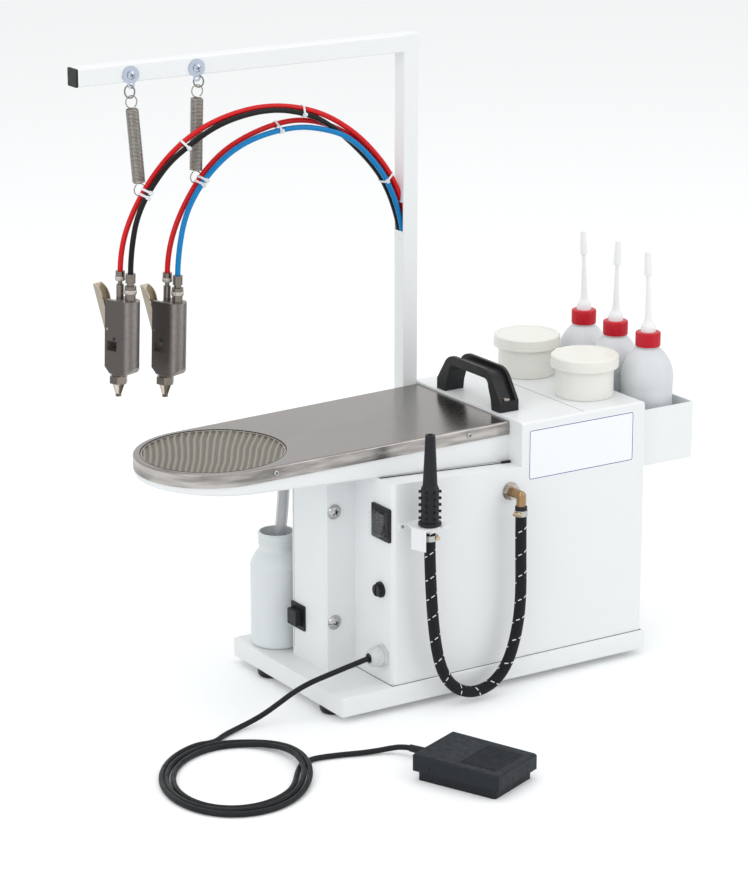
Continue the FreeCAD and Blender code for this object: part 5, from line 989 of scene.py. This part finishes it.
class STATION_OT_sheet_details(bpy.types.Operator):
    """Bare label panel, seams and screws of the cabinet"""
    bl_idname = "station.sheet_details"
    bl_label = "Sheet details"

    # The label panel's edges, measured from the cabinet's top and right side
    LABEL_TOP, LABEL_FOOT, LABEL_RIGHT = 9 * MM, 68.5 * MM, 17 * MM
    SLOT_TOP = 234.5 * MM
    # Drop below the slot's top, and height
    EDGINGS = ((0, 19), (53, 9))

    def execute(self, context):
        self.label(context.scene.station_fittings)
        self.seams()
        self.slot_edging()
        self.shadow_gaps()
        self.cap_screw_recesses()
        self.panel_screws()
        return {"FINISHED"}

    def label(self, sizes):
        """Plain plate with a thin round-cornered line, high on the head's front."""
        left, right = HEAD_LEFT + sizes.label_margin, CABINET_HIGH.x - self.LABEL_RIGHT
        top, bottom = CABINET_HIGH.z - self.LABEL_TOP, CABINET_HIGH.z - self.LABEL_FOOT
        place = facing((0, -1, 0), (left + right) / 2, CABINET_LOW.y, (top + bottom) / 2)
        width, height = (right - left) / MM, (top - bottom) / MM
        plate = rounded_corners(width, height, 3)
        bm = bmesh.new()
        loft(bm, [ring(bm, place, plate, rise) for rise in (0, 0.25)], capped=True)
        mesh_piece("label_panel", bm, "panel")
        line = sizes.border_width / MM
        outer, inner = (rounded_corners(width - 2 - 2 * inset, height - 2 - 2 * inset, 2.5 - inset)
                        for inset in (0, line))
        border_piece("label_border", place, outer, inner, (0.2, 0.33, 0.33, 0.2), "border")

    def seams(self):
        """Shadow gaps in the head's top and in the column's side."""
        middle = (CABINET_LOW + CABINET_HIGH) / 2
        seam = at((HEAD_LEFT + CABINET_HIGH.x) / 2 + 1.5 * MM, middle.y, CABINET_HIGH.z)
        low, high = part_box("duct_column")
        joint = at(low.x, high.y - 4 * MM, (low.z + high.z) / 2)
        blocks("sheet_seams", "recess", ((0.6, (CABINET_HIGH.y - CABINET_LOW.y) / MM - 6, 0.1), seam),
               ((0.1, 0.5, (high.z - low.z) / MM - 20), joint))

    def slot_edging(self):
        """White strips that close the mast slot's two ends round the hoses."""
        x, y = MAST_CORNER.x + 0.75 * MM, MAST_CORNER.y + MAST_SIZE / 2
        slot_top = CABINET_HIGH.z + self.SLOT_TOP
        blocks("slot_edging", "paint", *(
            ((1.5, MAST_SIZE / MM - 3, tall), at(x, y, slot_top - (drop + tall / 2) * MM), 0.3)
            for drop, tall in self.EDGINGS))

    def shadow_gaps(self):
        """Painted shadow in the gaps between the cabinet's foot and the base pan, and between board pan and
        low housing.
        """
        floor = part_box("base_pan")[1].z + 0.2 * MM
        wide, deep, _ = (CABINET_HIGH - CABINET_LOW) / MM
        middle = (CABINET_HIGH + CABINET_LOW) / 2
        start, end = mm(-140.5, -88.5, 266.8), mm(30.9, -94.2, 258.9)
        blocks("shadow_gaps", "recess",
               ((wide, 0.6, 0.6), at(middle.x, CABINET_LOW.y - 0.1 * MM, floor)),
               ((0.6, deep, 0.6), at(CABINET_LOW.x - 0.1 * MM, middle.y, floor)),
               ((0.6, deep, 0.6), at(CABINET_HIGH.x + 0.1 * MM, middle.y, floor)),
               ((1.3, 1.3, (end - start).length / MM), facing(end - start, *(start + end) / 2)),
               ((12, 4, 3), Matrix.Translation(end - mm(6, 0, -1)), 0.4))

    def cap_screw_recesses(self):
        """Cross recesses in the column's domed screws, as painted shade."""
        low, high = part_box("column_cap_screws")
        radius = 8.5 * MM
        cross_recess("cap_screw_recesses", 3.1, 1.1, 0.6,
                     *(facing((0, -1, 0), (low.x + high.x) / 2, low.y + 0.15 * MM, height)
                       for height in (low.z + radius, high.z - radius)))

    def panel_screws(self):
        """Screws round the service panel and in the nozzle bracket's ear."""
        low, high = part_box("service_panel")
        inset = 6 * MM
        places = [(x, CABINET_HIGH.y + 1.5 * MM, z) for x in (low.x + inset, high.x - inset)
                  for z in (low.z + inset, (low.z + high.z) / 2, high.z - inset)]
        for number, place in enumerate(places, 1):
            head = facing((0, 1, 0), *place)
            pan_head("panel_screw_%d" % number, head, 3.2, 2, "zinc")
            # Each recess is a dark cross that paints the shade in the head.
            cross_recess("panel_screw_recess_%d" % number, 1.7, 0.6, 0.3, head @ at(0, 0, 1.9 * MM))
        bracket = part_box("nozzle_holder")[0]
        ear = facing((0, -1, 0), bracket.x + 3.7 * MM, CABINET_LOW.y - 1.5 * MM, bracket.z + 21 * MM)
        pan_head("bracket_screw", ear, 1.9, 1.1, "spring")


class STATION_OT_board(bpy.types.Operator):
    """Rim screws of the spotting board, with painted shade in their cross recesses"""
    bl_idname = "station.board"
    bl_label = "Board"

    SCREW_PLACES = (-304.3 * MM, -54.6 * MM)

    def execute(self, context):
        radius = context.scene.station_fittings.screw_radius / MM
        root = (BOARD_HIGH.y - BOARD_LOW.y) / 2
        taper = (root - NOSE_RADIUS) / (BOARD_LENGTH - NOSE_RADIUS)
        for side, word in ((-1, "front"), (1, "rear")):
            for number, x in enumerate(self.SCREW_PLACES, 1):
                head = BOARD_FRAME @ facing((0, side, 0), x, side * (root + taper * x), -RIM_HEIGHT / 2)
                name = "rim_screw_%s_%d" % (word, number)
                pan_head(name, head, radius, 1.8, "chrome")
                cross_recess(name + "_recess", 1.9, 0.7, 0.4, head @ at(0, 0, 1.7 * MM))
        return {"FINISHED"}


class STATION_OT_screen(bpy.types.Operator):
    """Corrugated gauze screen with its crimped rim and gasket"""
    bl_idname = "station.screen"
    bl_label = "Mesh screen"

    RIB_TURN = Matrix.Rotation(math.atan2(-SLANT.x, SLANT.y), 3, "Z")
    ROWS = 80
    RIM_STEPS = 360
    # Share of the rim's width in from the edge, and height
    RIM = ((0, -2.9), (0, -0.9), (0.5, -0.45), (0.6, -0.45), (1.0, -0.7), (1.0, -2.6), (0.4, -2.9))

    def execute(self, context):
        sizes = context.scene.station_screen
        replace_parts(self.gauze(sizes), "mesh_screen")
        self.rim(sizes)
        self.gasket()
        return {"FINISHED"}

    def gauze(self, sizes):
        """Ribs that run away from the viewer, wander a little and fan out to the back."""
        reach = SCREEN_RADIUS - 0.4 * MM
        columns = sizes.waves * 10
        pitch = 2 * SCREEN_RADIUS / sizes.waves
        verts, crests = [], []
        for row in range(self.ROWS + 1):
            for column in range(columns + 1):
                flat = Vector((2 * column / columns - 1, 2 * row / self.ROWS - 1, 0)) * reach
                if flat.length > reach:
                    flat = flat.normalized() * reach
                sway = sizes.sway * (math.sin(52 * flat.y + 21 * flat.x)
                                     + noise.noise(Vector((flat.x * 22, flat.y * 30, 1.7))))
                across = (flat.x + sway) * (1 - sizes.fan * flat.y / SCREEN_RADIUS)
                crest = (0.5 + 0.5 * math.cos(math.tau * across / pitch)) ** 2
                flat.z = crest * sizes.wave_height - 2.3 * MM
                verts.append(SCREEN_FRAME @ (self.RIB_TURN @ flat))
                crests.append(crest)
        faces = []
        for row in range(self.ROWS):
            for column in range(columns):
                first = row * (columns + 1) + column
                above = first + columns + 1
                if (verts[first] - verts[above + 1]).length > 1e-5:
                    faces.append((first, first + 1, above + 1, above))
        mesh = bpy.data.meshes.new("screen_gauze")
        mesh.from_pydata(verts, [], faces)
        # The crest share also feeds the gauze finish's painted highlight on crests and painted shade in
        # valleys
        mesh.attributes.new("crest", "FLOAT", "POINT").data.foreach_set("value", crests)
        mesh.shade_smooth()
        return stand("screen_gauze", mesh, "gauze", "screen")

    def rim(self, sizes):
        """Flat rim pressed over the gauze, pinched all round."""
        bm = bmesh.new()
        rings = []
        for inset, rise in self.RIM:
            row = []
            for turn in (math.tau * step / self.RIM_STEPS for step in range(self.RIM_STEPS)):
                pinch = 0.28 * MM * (0.5 + 0.5 * math.cos(90 * turn)) if inset > 0.3 else 0
                radius = SCREEN_RADIUS - inset * sizes.rim - pinch
                spot = Vector((radius * math.cos(turn), radius * math.sin(turn), rise * MM - pinch))
                row.append(bm.verts.new(SCREEN_FRAME @ spot))
            rings.append(row)
        loft(bm, rings)
        mesh_piece("screen_rim", bm, "rim", "screen")

    def gasket(self):
        """Dark seal round the seat."""
        inner = SCREEN_RADIUS / MM + 0.02
        outer, lip, proud = inner + 0.34, inner + 0.84, 0.12
        turned("screen_gasket", ((inner, -2.8), (outer, -2.8), (outer, -0.1), (lip, -0.1), (lip, proud),
                                 (inner, proud), (inner, -2.8)), "gasket", SCREEN_FRAME, steps=120)


# ---------------------------------------------------------------- operators: hangers and guns
class STATION_OT_hangers(bpy.types.Operator):
    """Close-wound extension springs, their links and the painted shade of the eye bolts' recesses"""
    bl_idname = "station.hangers"
    bl_label = "Hangers"

    # Upper and lower eye centres
    EYES = {
        "left": ((-341.7, 96.7, 679.2), (-335.2, 94.0, 582.0)),
        "right": ((-259.8, 96.7, 683.2), (-264.6, 94.0, 588.0)),
    }
    COIL_RADIUS = 6.6 * MM
    EYE_RADIUS = 6.8 * MM
    SHOULDER = 1.4 * MM
    SHOULDER_TURNS = 1.25
    LINKS = {"left": ((-343.5, 96.7, 690.6), 16), "right": ((-257.8, 96.7, 693.6), 14.5)}
    LINK_WIRE, LINK_HALF_WIDTH = 0.95, 5.4
    BOLT_REACHES = (353.2, 271.3)

    def execute(self, context):
        sizes = context.scene.station_fittings
        for side, (top, low) in self.EYES.items():
            spring = self.spring("hanger_spring_" + side, mm(*top), mm(*low), sizes)
            if side == "left":
                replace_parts(spring, "hanger_springs")
        for side, (centre, tall) in self.LINKS.items():
            link = self.link("link_" + side, mm(*centre), tall)
            if side == "left":
                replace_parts(link, "hanger_links")
        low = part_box("hanger_bolts")[0]
        for reach in self.BOLT_REACHES:
            bolt = MAST_CORNER - mm(reach, 0, 12)
            place = facing((0, -1, 0), bolt.x, low.y + 0.1 * MM, bolt.z)
            cross_recess("eye_bolt_recess_%d" % reach, 2.4, 0.8, 0.4, place)
        return {"FINISHED"}

    def link(self, name, centre, tall):
        """Open oval link between an eye plate and a spring."""
        points = []
        for turn in (math.tau * step / 40 for step in range(40)):
            rise = Vector((0, 0, math.sin(turn) * (tall / 2 - self.LINK_WIRE)))
            points.append(centre + (ACROSS * self.LINK_HALF_WIDTH * math.cos(turn) + rise) * MM)
        curve, line = wire(name, points, self.LINK_WIRE * MM, 3)
        line.use_cyclic_u = True
        line.use_smooth = True
        return stand(name, curve, "link_wire")

    def spring(self, name, top, low, sizes):
        """Eye, cone, closed coils, cone and eye in one wire."""
        def coil(turn, reach, height):
            return reach * math.cos(math.tau * turn), reach * math.sin(math.tau * turn), height

        span = (top - low).length
        first = -self.EYE_RADIUS - self.SHOULDER
        last = -span - first
        steps = int((first - last) / sizes.spring_pitch * 16)
        end_turn = self.SHOULDER_TURNS + steps / 16
        eye = [(self.EYE_RADIUS * math.sin(turn), self.EYE_RADIUS * math.cos(turn))
               for turn in (math.radians(15 * step) for step in range(23))]
        cone = [step / 12 for step in range(1, 12)]
        path = [(-x, 0, -z) for x, z in reversed(eye)]
        path += [coil(self.SHOULDER_TURNS * part, self.COIL_RADIUS * part,
                      -self.EYE_RADIUS - self.SHOULDER * part) for part in cone]
        path += [coil(self.SHOULDER_TURNS + step / 16, self.COIL_RADIUS,
                      first - (first - last) * step / steps) for step in range(steps + 1)]
        path += [coil(end_turn + self.SHOULDER_TURNS * part, self.COIL_RADIUS * (1 - part),
                      last - self.SHOULDER * part) for part in cone]
        path += [(x, 0, z - span) for x, z in eye]
        up = (top - low).normalized()
        across = Vector((0, 1, 0)).cross(up).normalized()
        place = axes(across, up.cross(across), up, top)
        curve, line = wire(name, [place @ Vector(spot) for spot in path], sizes.spring_wire, 1)
        line.use_smooth = True
        return stand(name, curve, "spring")


class STATION_OT_guns(bpy.types.Operator):
    """Spindles, collars and the painted shade of the notches in the spray guns' sides"""
    bl_idname = "station.guns"
    bl_label = "Spray guns"

    SPINDLE = ((0, 24), (2.6, 24), (2.6, 28.5), (3.4, 28.5), (3.4, 33), (2, 33), (2, 39), (0, 39))
    # Dark disc that paints the shade of a notch in the gun body's side
    PACKING = ((0, -0.5), (1.9, -0.5), (1.9, 0.35), (1.6, 0.6), (0, 0.6))
    # Setback, radius and height of the collar under each hose fitting
    COLLARS = {"steam": (0.9, 5.4, 104.5), "fluid": (15.3, 6.7, 91.2)}
    COLLAR_TALL = 4.2

    def execute(self, context):
        for side in GUN_TIPS:
            place = gun_frame(side)
            turned("needle_spindle_" + side, self.SPINDLE, "nickel", place, steps=40, flutes=20, depth=0.15)
            # A dark disc on each side of the body: painted shade of its notch.
            for sign, word in ((-1, "front"), (1, "rear")):
                head = place @ facing((0, sign, 0), *mm(3, sign * 12.5, 40))
                turned("packing_screw_%s_%s" % (word, side), self.PACKING, "recess", head, steps=24)
            for name, (x, radius, rise) in self.COLLARS.items():
                neck, crown, tall = radius * 0.6, radius + 0.3, self.COLLAR_TALL
                outline = ((neck, 0), (radius, 0), (crown, 0.5), (crown, tall - 0.5),
                           (radius, tall), (neck, tall))
                turned("%s_collar_%s" % (name, side), outline, "nickel", place @ at(*mm(x, 0, rise)),
                       steps=72, flutes=24, depth=0.25)
        return {"FINISHED"}


# ---------------------------------------------------------------- operators: bottles and jars
class STATION_OT_bottles(bpy.types.Operator):
    """Fluted red caps and tapered spouts of the squeeze bottles"""
    bl_idname = "station.bottles"
    bl_label = "Squeeze bottles"

    CAP = ((13.0, 1.3), (14.4, 1.3), (14.7, 2.0), (14.7, 16.5), (14.1, 17.6), (13.2, 18.0), (8.75, 18.0),
           (8.75, 16.0), (13.0, 16.0), (13.0, 1.3))
    SPOUT = ((0, 12.7), (12.9, 12.7), (12.9, 15.7), (8.7, 15.7), (8.7, 21.4), (8.4, 24.6),
             (7.4, 27.0), (5.6, 28.8), (4.8, 30.6), (4.2, 35.6), (3.8, 42.6), (3.3, 53.6),
             (2.9, 64.6), (2.5, 75.6), (2.35, 84.1), (4.3, 85), (4.5, 86.6), (4.4, 94.6),
             (3.9, 101.6), (3.5, 109.6), (3.1, 112.6), (0, 112.6))
    LEANS = (-2.8, 1.0, -2.6)

    def execute(self, context):
        tip = self.SPOUT[-1][1] * MM
        for number, lean in enumerate(self.LEANS, 1):
            node = "bottle_cap_%d" % number
            low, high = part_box(node)
            base = at((low.x + high.x) / 2, (low.y + high.y) / 2, low.z - 0.5 * MM)
            cap = turned("screw_cap_%d" % number, self.CAP, "cap", base, body=node,
                         steps=288, flutes=72, depth=0.3)
            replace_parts(cap, node)
            bm = bmesh.new()
            lathe(bm, self.SPOUT, base)
            for vert in bm.verts:
                rise = max(0, (vert.co - base.translation).z / tip - 0.2) / 0.8
                vert.co += ACROSS * lean * MM * rise ** 1.5
            mesh_piece("spout_%d" % number, bm, "spout", node)
        return {"FINISHED"}


class STATION_OT_jars(bpy.types.Operator):
    """Grip steps round the jars' lids"""
    bl_idname = "station.jars"
    bl_label = "Jars"

    STEP_RISES = (1.2, 5.2)

    def execute(self, context):
        for which in ("rear", "front"):
            node = "jar_%s_lid" % which
            low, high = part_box(node)
            inner = (high.x - low.x) / 2 / MM - 0.6
            outer = inner + 0.95
            x, y = (low.x + high.x) / 2, (low.y + high.y) / 2
            turned("lid_steps_" + which, ((inner, 0), (outer, 0.3), (outer, 0.9), (inner, 1.2)), "jar",
                   *(at(x, y, low.z + rise * MM) for rise in self.STEP_RISES), body=node, steps=96)
        return {"FINISHED"}


class STATION_OT_waste_bottle(bpy.types.Operator):
    """Thread and lip on the waste bottle's neck"""
    bl_idname = "station.waste_bottle"
    bl_label = "Waste bottle"

    NECK = 21.0
    # Drop below the mouth and how far each thread stands out
    THREADS = ((3.0, 1.0), (8.5, 0.8), (14.0, 0.8))

    def execute(self, context):
        low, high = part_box("waste_bottle")
        bm = bmesh.new()
        for drop, proud in self.THREADS:
            inner, outer = self.NECK - 0.5, self.NECK + proud
            lathe(bm, ((inner, -0.4), (outer, 0.3), (outer, 1.3), (inner, 2)),
                  at((low.x + high.x) / 2, (low.y + high.y) / 2, high.z - drop * MM), 72)
        mesh_piece("waste_bottle_thread", bm, "waste")
        return {"FINISHED"}


# ---------------------------------------------------------------- operators: blow-off line and controls
class STATION_OT_hose_clamps(bpy.types.Operator):
    """Worm-drive clamps on the braided hose, and its sleeve end"""
    bl_idname = "station.hose_clamps"
    bl_label = "Hose clamps"

    # Outlines from the hose's radius outwards
    BAND = ((0.05, -3.4), (0.65, -3.4), (0.85, -3.2), (0.85, 3.2), (0.65, 3.4), (0.05, 3.4), (0.05, -3.4))
    SLEEVE = ((0, 3), (0.35, 3), (0.35, 7), (0, 8), (-2, 8), (-2, 7))
    SCREW = ((0, 0), (1.6, 0), (1.6, 8), (2.5, 8), (2.5, 10), (0, 10))

    def execute(self, context):
        low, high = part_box("hose_clamps")
        elbow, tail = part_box("brass_elbow"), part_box("nozzle_nut")
        outlet = at((elbow[0].x + elbow[1].x) / 2, BRAIDED_ROUTE[0][1], high.z - 4 * MM)
        nozzle = at((tail[0].x + tail[1].x) / 2, BRAIDED_ROUTE[-1][1], low.z + 4 * MM)
        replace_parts(self.clamp("outlet", outlet, -1), "hose_clamps")
        turned("outlet_sleeve", self.outward(self.SLEEVE), "rubber", outlet, steps=72)
        self.clamp("nozzle", nozzle, 1)
        return {"FINISHED"}

    def outward(self, outline):
        return [(BRAID_RADIUS / MM + x, z) for x, z in outline]

    def clamp(self, name, place, side):
        """Band with its saddle and slotted screw at one side."""
        band = turned("clamp_band_" + name, self.outward(self.BAND), "band", place, steps=72)
        bm = bmesh.new()
        turn = place @ Matrix.Rotation(math.radians(-90 + 62 * side), 4, "Z")
        block(bm, (2.6, 6.4, 5.6), turn @ at(*mm(8.1, 0, 0)), 0.5)
        lathe(bm, self.SCREW, turn @ facing((0, -1, 0), *mm(8.7, 5.2, 0)), 24)
        mesh_piece("clamp_screw_" + name, bm, "pale_brass")
        return band


class STATION_OT_controls(bpy.types.Operator):
    """Rims, knurls and ribs of the switch, fuse, button and gland"""
    bl_idname = "station.controls"
    bl_label = "Controls"

    FUSE_RIM = ((7.4, -0.2), (8.9, -0.2), (8.9, 0.7), (8.2, 1.1), (7.4, 1.1), (7.4, -0.2))
    GLAND_RIBS = ((10, -14), (11.5, -14), (11.5, -7), (10.9, -5.4), (10, -5.4))
    GLAND_SEAL = ((3.2, -1), (5.6, -1), (5.6, 0.4), (4.9, 0.9), (3.2, 0.2))

    def execute(self, context):
        self.raised_frame("switch_frame", "switch_bezel", 31, 33, 2.2, 0.8)
        fuse = self.left_face("fuse_holder")
        turned("fuse_rim", self.FUSE_RIM, "black", fuse, steps=72, flutes=24, depth=0.35)
        gland = self.left_face("cable_gland")
        turned("gland_ribs", self.GLAND_RIBS, "gland", gland, steps=120, flutes=24, depth=0.45)
        turned("gland_seal", self.GLAND_SEAL, "rubber", gland)
        self.raised_frame("button_frame", "button_bezel", 23, 23, 1.2, 0.7)
        return {"FINISHED"}

    def left_face(self, node):
        """Frame on the middle of a node's left side, facing left."""
        low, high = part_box(node)
        return facing((-1, 0, 0), low.x, (low.y + high.y) / 2, (low.z + high.z) / 2)

    def raised_frame(self, name, node, width, height, border, rise):
        """Raised border on a left-facing bezel."""
        outer = rounded_corners(height, width, 1.5, 4)
        inner = rounded_corners(height - 2 * border, width - 2 * border, 0.8, 4)
        border_piece(name, self.left_face(node), outer, inner, (-0.1, rise * 0.7, rise, -0.1), "black")


class STATION_OT_handle(bpy.types.Operator):
    """Bolts in the carry handle's channel"""
    bl_idname = "station.handle"
    bl_label = "Carry handle"

    BOLT_REACH, BOLT_HEIGHT = 57.5 * MM, 12.5 * MM

    def execute(self, context):
        low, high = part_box("carry_handle")
        x, y = (low.x + high.x) / 2, (low.y + high.y) / 2
        for sign, word in ((-1, "front"), (1, "rear")):
            spot = at(x, y + sign * self.BOLT_REACH, low.z + self.BOLT_HEIGHT)
            pan_head("handle_bolt_" + word, spot, 5, 3, "spring")
        return {"FINISHED"}


# ---------------------------------------------------------------- stage
class STATION_OT_stage(bpy.types.Operator):
    """Pale floor, even surrounding light and three soft lamps"""
    bl_idname = "station.stage"
    bl_label = "Stage"

    FLOOR_REACH, FLOOR_DROP = 12, 0.05 * MM
    AIM = Vector((-0.1, 0, 0.25))
    # Place and width of each lamp
    LAMPS = {
        "key": ((2.6, -2.9, 2.6), 3.6),
        "fill": ((-3.0, -1.6, 1.9), 2.6),
        "top": ((-0.3, 0.3, 3.3), 3.0),
    }

    def execute(self, context):
        settings = context.scene.station_stage
        self.floor(settings)
        self.sky(context.scene, settings)
        for name, (place, width) in self.LAMPS.items():
            self.lamp(name + "_lamp", place, width, getattr(settings, name + "_power"))
        context.scene.view_settings.view_transform = "Standard"
        return {"FINISHED"}

    def floor(self, settings):
        mesh = bpy.data.meshes.new("floor")
        mesh.from_pydata([(x * self.FLOOR_REACH, y * self.FLOOR_REACH, 0)
                          for x, y in ((-1, -1), (1, -1), (1, 1), (-1, 1))], [], [(0, 1, 2, 3)])
        mesh.materials.append(floor_finish("pale_floor", settings.floor_colour))
        floor = bpy.data.objects.new("floor", mesh)
        floor.location.z = -self.FLOOR_DROP
        bpy.context.scene.collection.objects.link(floor)

    def sky(self, scene, settings):
        """White to the camera and in reflections, dimmer as a light."""
        world = bpy.data.worlds.new("studio")
        world.use_nodes = True
        scene.world = world
        tree = world.node_tree
        background = tree.nodes["Background"]
        background.inputs["Color"].default_value = (1, 1, 1, 1)
        strength = tree.nodes.new("ShaderNodeMapRange")
        strength.inputs["To Min"].default_value = settings.sky
        strength.inputs["To Max"].default_value = 1.0
        tree.links.new(seen_directly(tree), strength.inputs["Value"])
        tree.links.new(strength.outputs["Result"], background.inputs["Strength"])

    def lamp(self, name, place, width, power):
        data = bpy.data.lights.new(name, "AREA")
        data.shape = "DISK"
        data.size = width
        data.energy = power
        lamp = bpy.data.objects.new(name, data)
        lamp.matrix_world = facing(Vector(place) - self.AIM, *place)
        bpy.context.scene.collection.objects.link(lamp)


# ---------------------------------------------------------------- add-on
OPERATORS = (
    STATION_OT_camera, STATION_OT_finishes, STATION_OT_gun_hoses, STATION_OT_braided_hose,
    STATION_OT_pedal_cord, STATION_OT_hose_ties, STATION_OT_base, STATION_OT_sheet_details,
    STATION_OT_board, STATION_OT_screen, STATION_OT_hangers, STATION_OT_guns, STATION_OT_bottles,
    STATION_OT_jars, STATION_OT_waste_bottle, STATION_OT_hose_clamps, STATION_OT_controls,
    STATION_OT_handle, STATION_OT_stage,
)
SETTINGS = {
    "station_colours": StationColours,
    "station_fittings": FittingSizes,
    "station_screen": ScreenSizes,
    "station_stage": StageSettings,
}


class STATION_PT_panel(bpy.types.Panel):
    """Every piece of the station, in the order it is made"""
    bl_idname = "STATION_PT_panel"
    bl_label = "Stain-removing station"
    bl_space_type = "VIEW_3D"
    bl_region_type = "UI"
    bl_category = "Station"

    def draw(self, context):
        for operator in OPERATORS:
            self.layout.operator(operator.bl_idname)
        for name in SETTINGS:
            settings = getattr(context.scene, name)
            for field in settings.bl_rna.properties:
                if field.identifier not in {"rna_type", "name"}:
                    self.layout.prop(settings, field.identifier)


def register():
    for name, group in SETTINGS.items():
        bpy.utils.register_class(group)
        setattr(bpy.types.Scene, name, bpy.props.PointerProperty(type=group))
    for operator in OPERATORS:
        bpy.utils.register_class(operator)
    bpy.utils.register_class(STATION_PT_panel)


def unregister():
    bpy.utils.unregister_class(STATION_PT_panel)
    for operator in reversed(OPERATORS):
        bpy.utils.unregister_class(operator)
    for name, group in SETTINGS.items():
        delattr(bpy.types.Scene, name)
        bpy.utils.unregister_class(group)


def main():
    register()
    for operator in OPERATORS:
        family, word = operator.bl_idname.split(".")
        getattr(getattr(bpy.ops, family), word)()


if __name__ == "__main__":
    main()
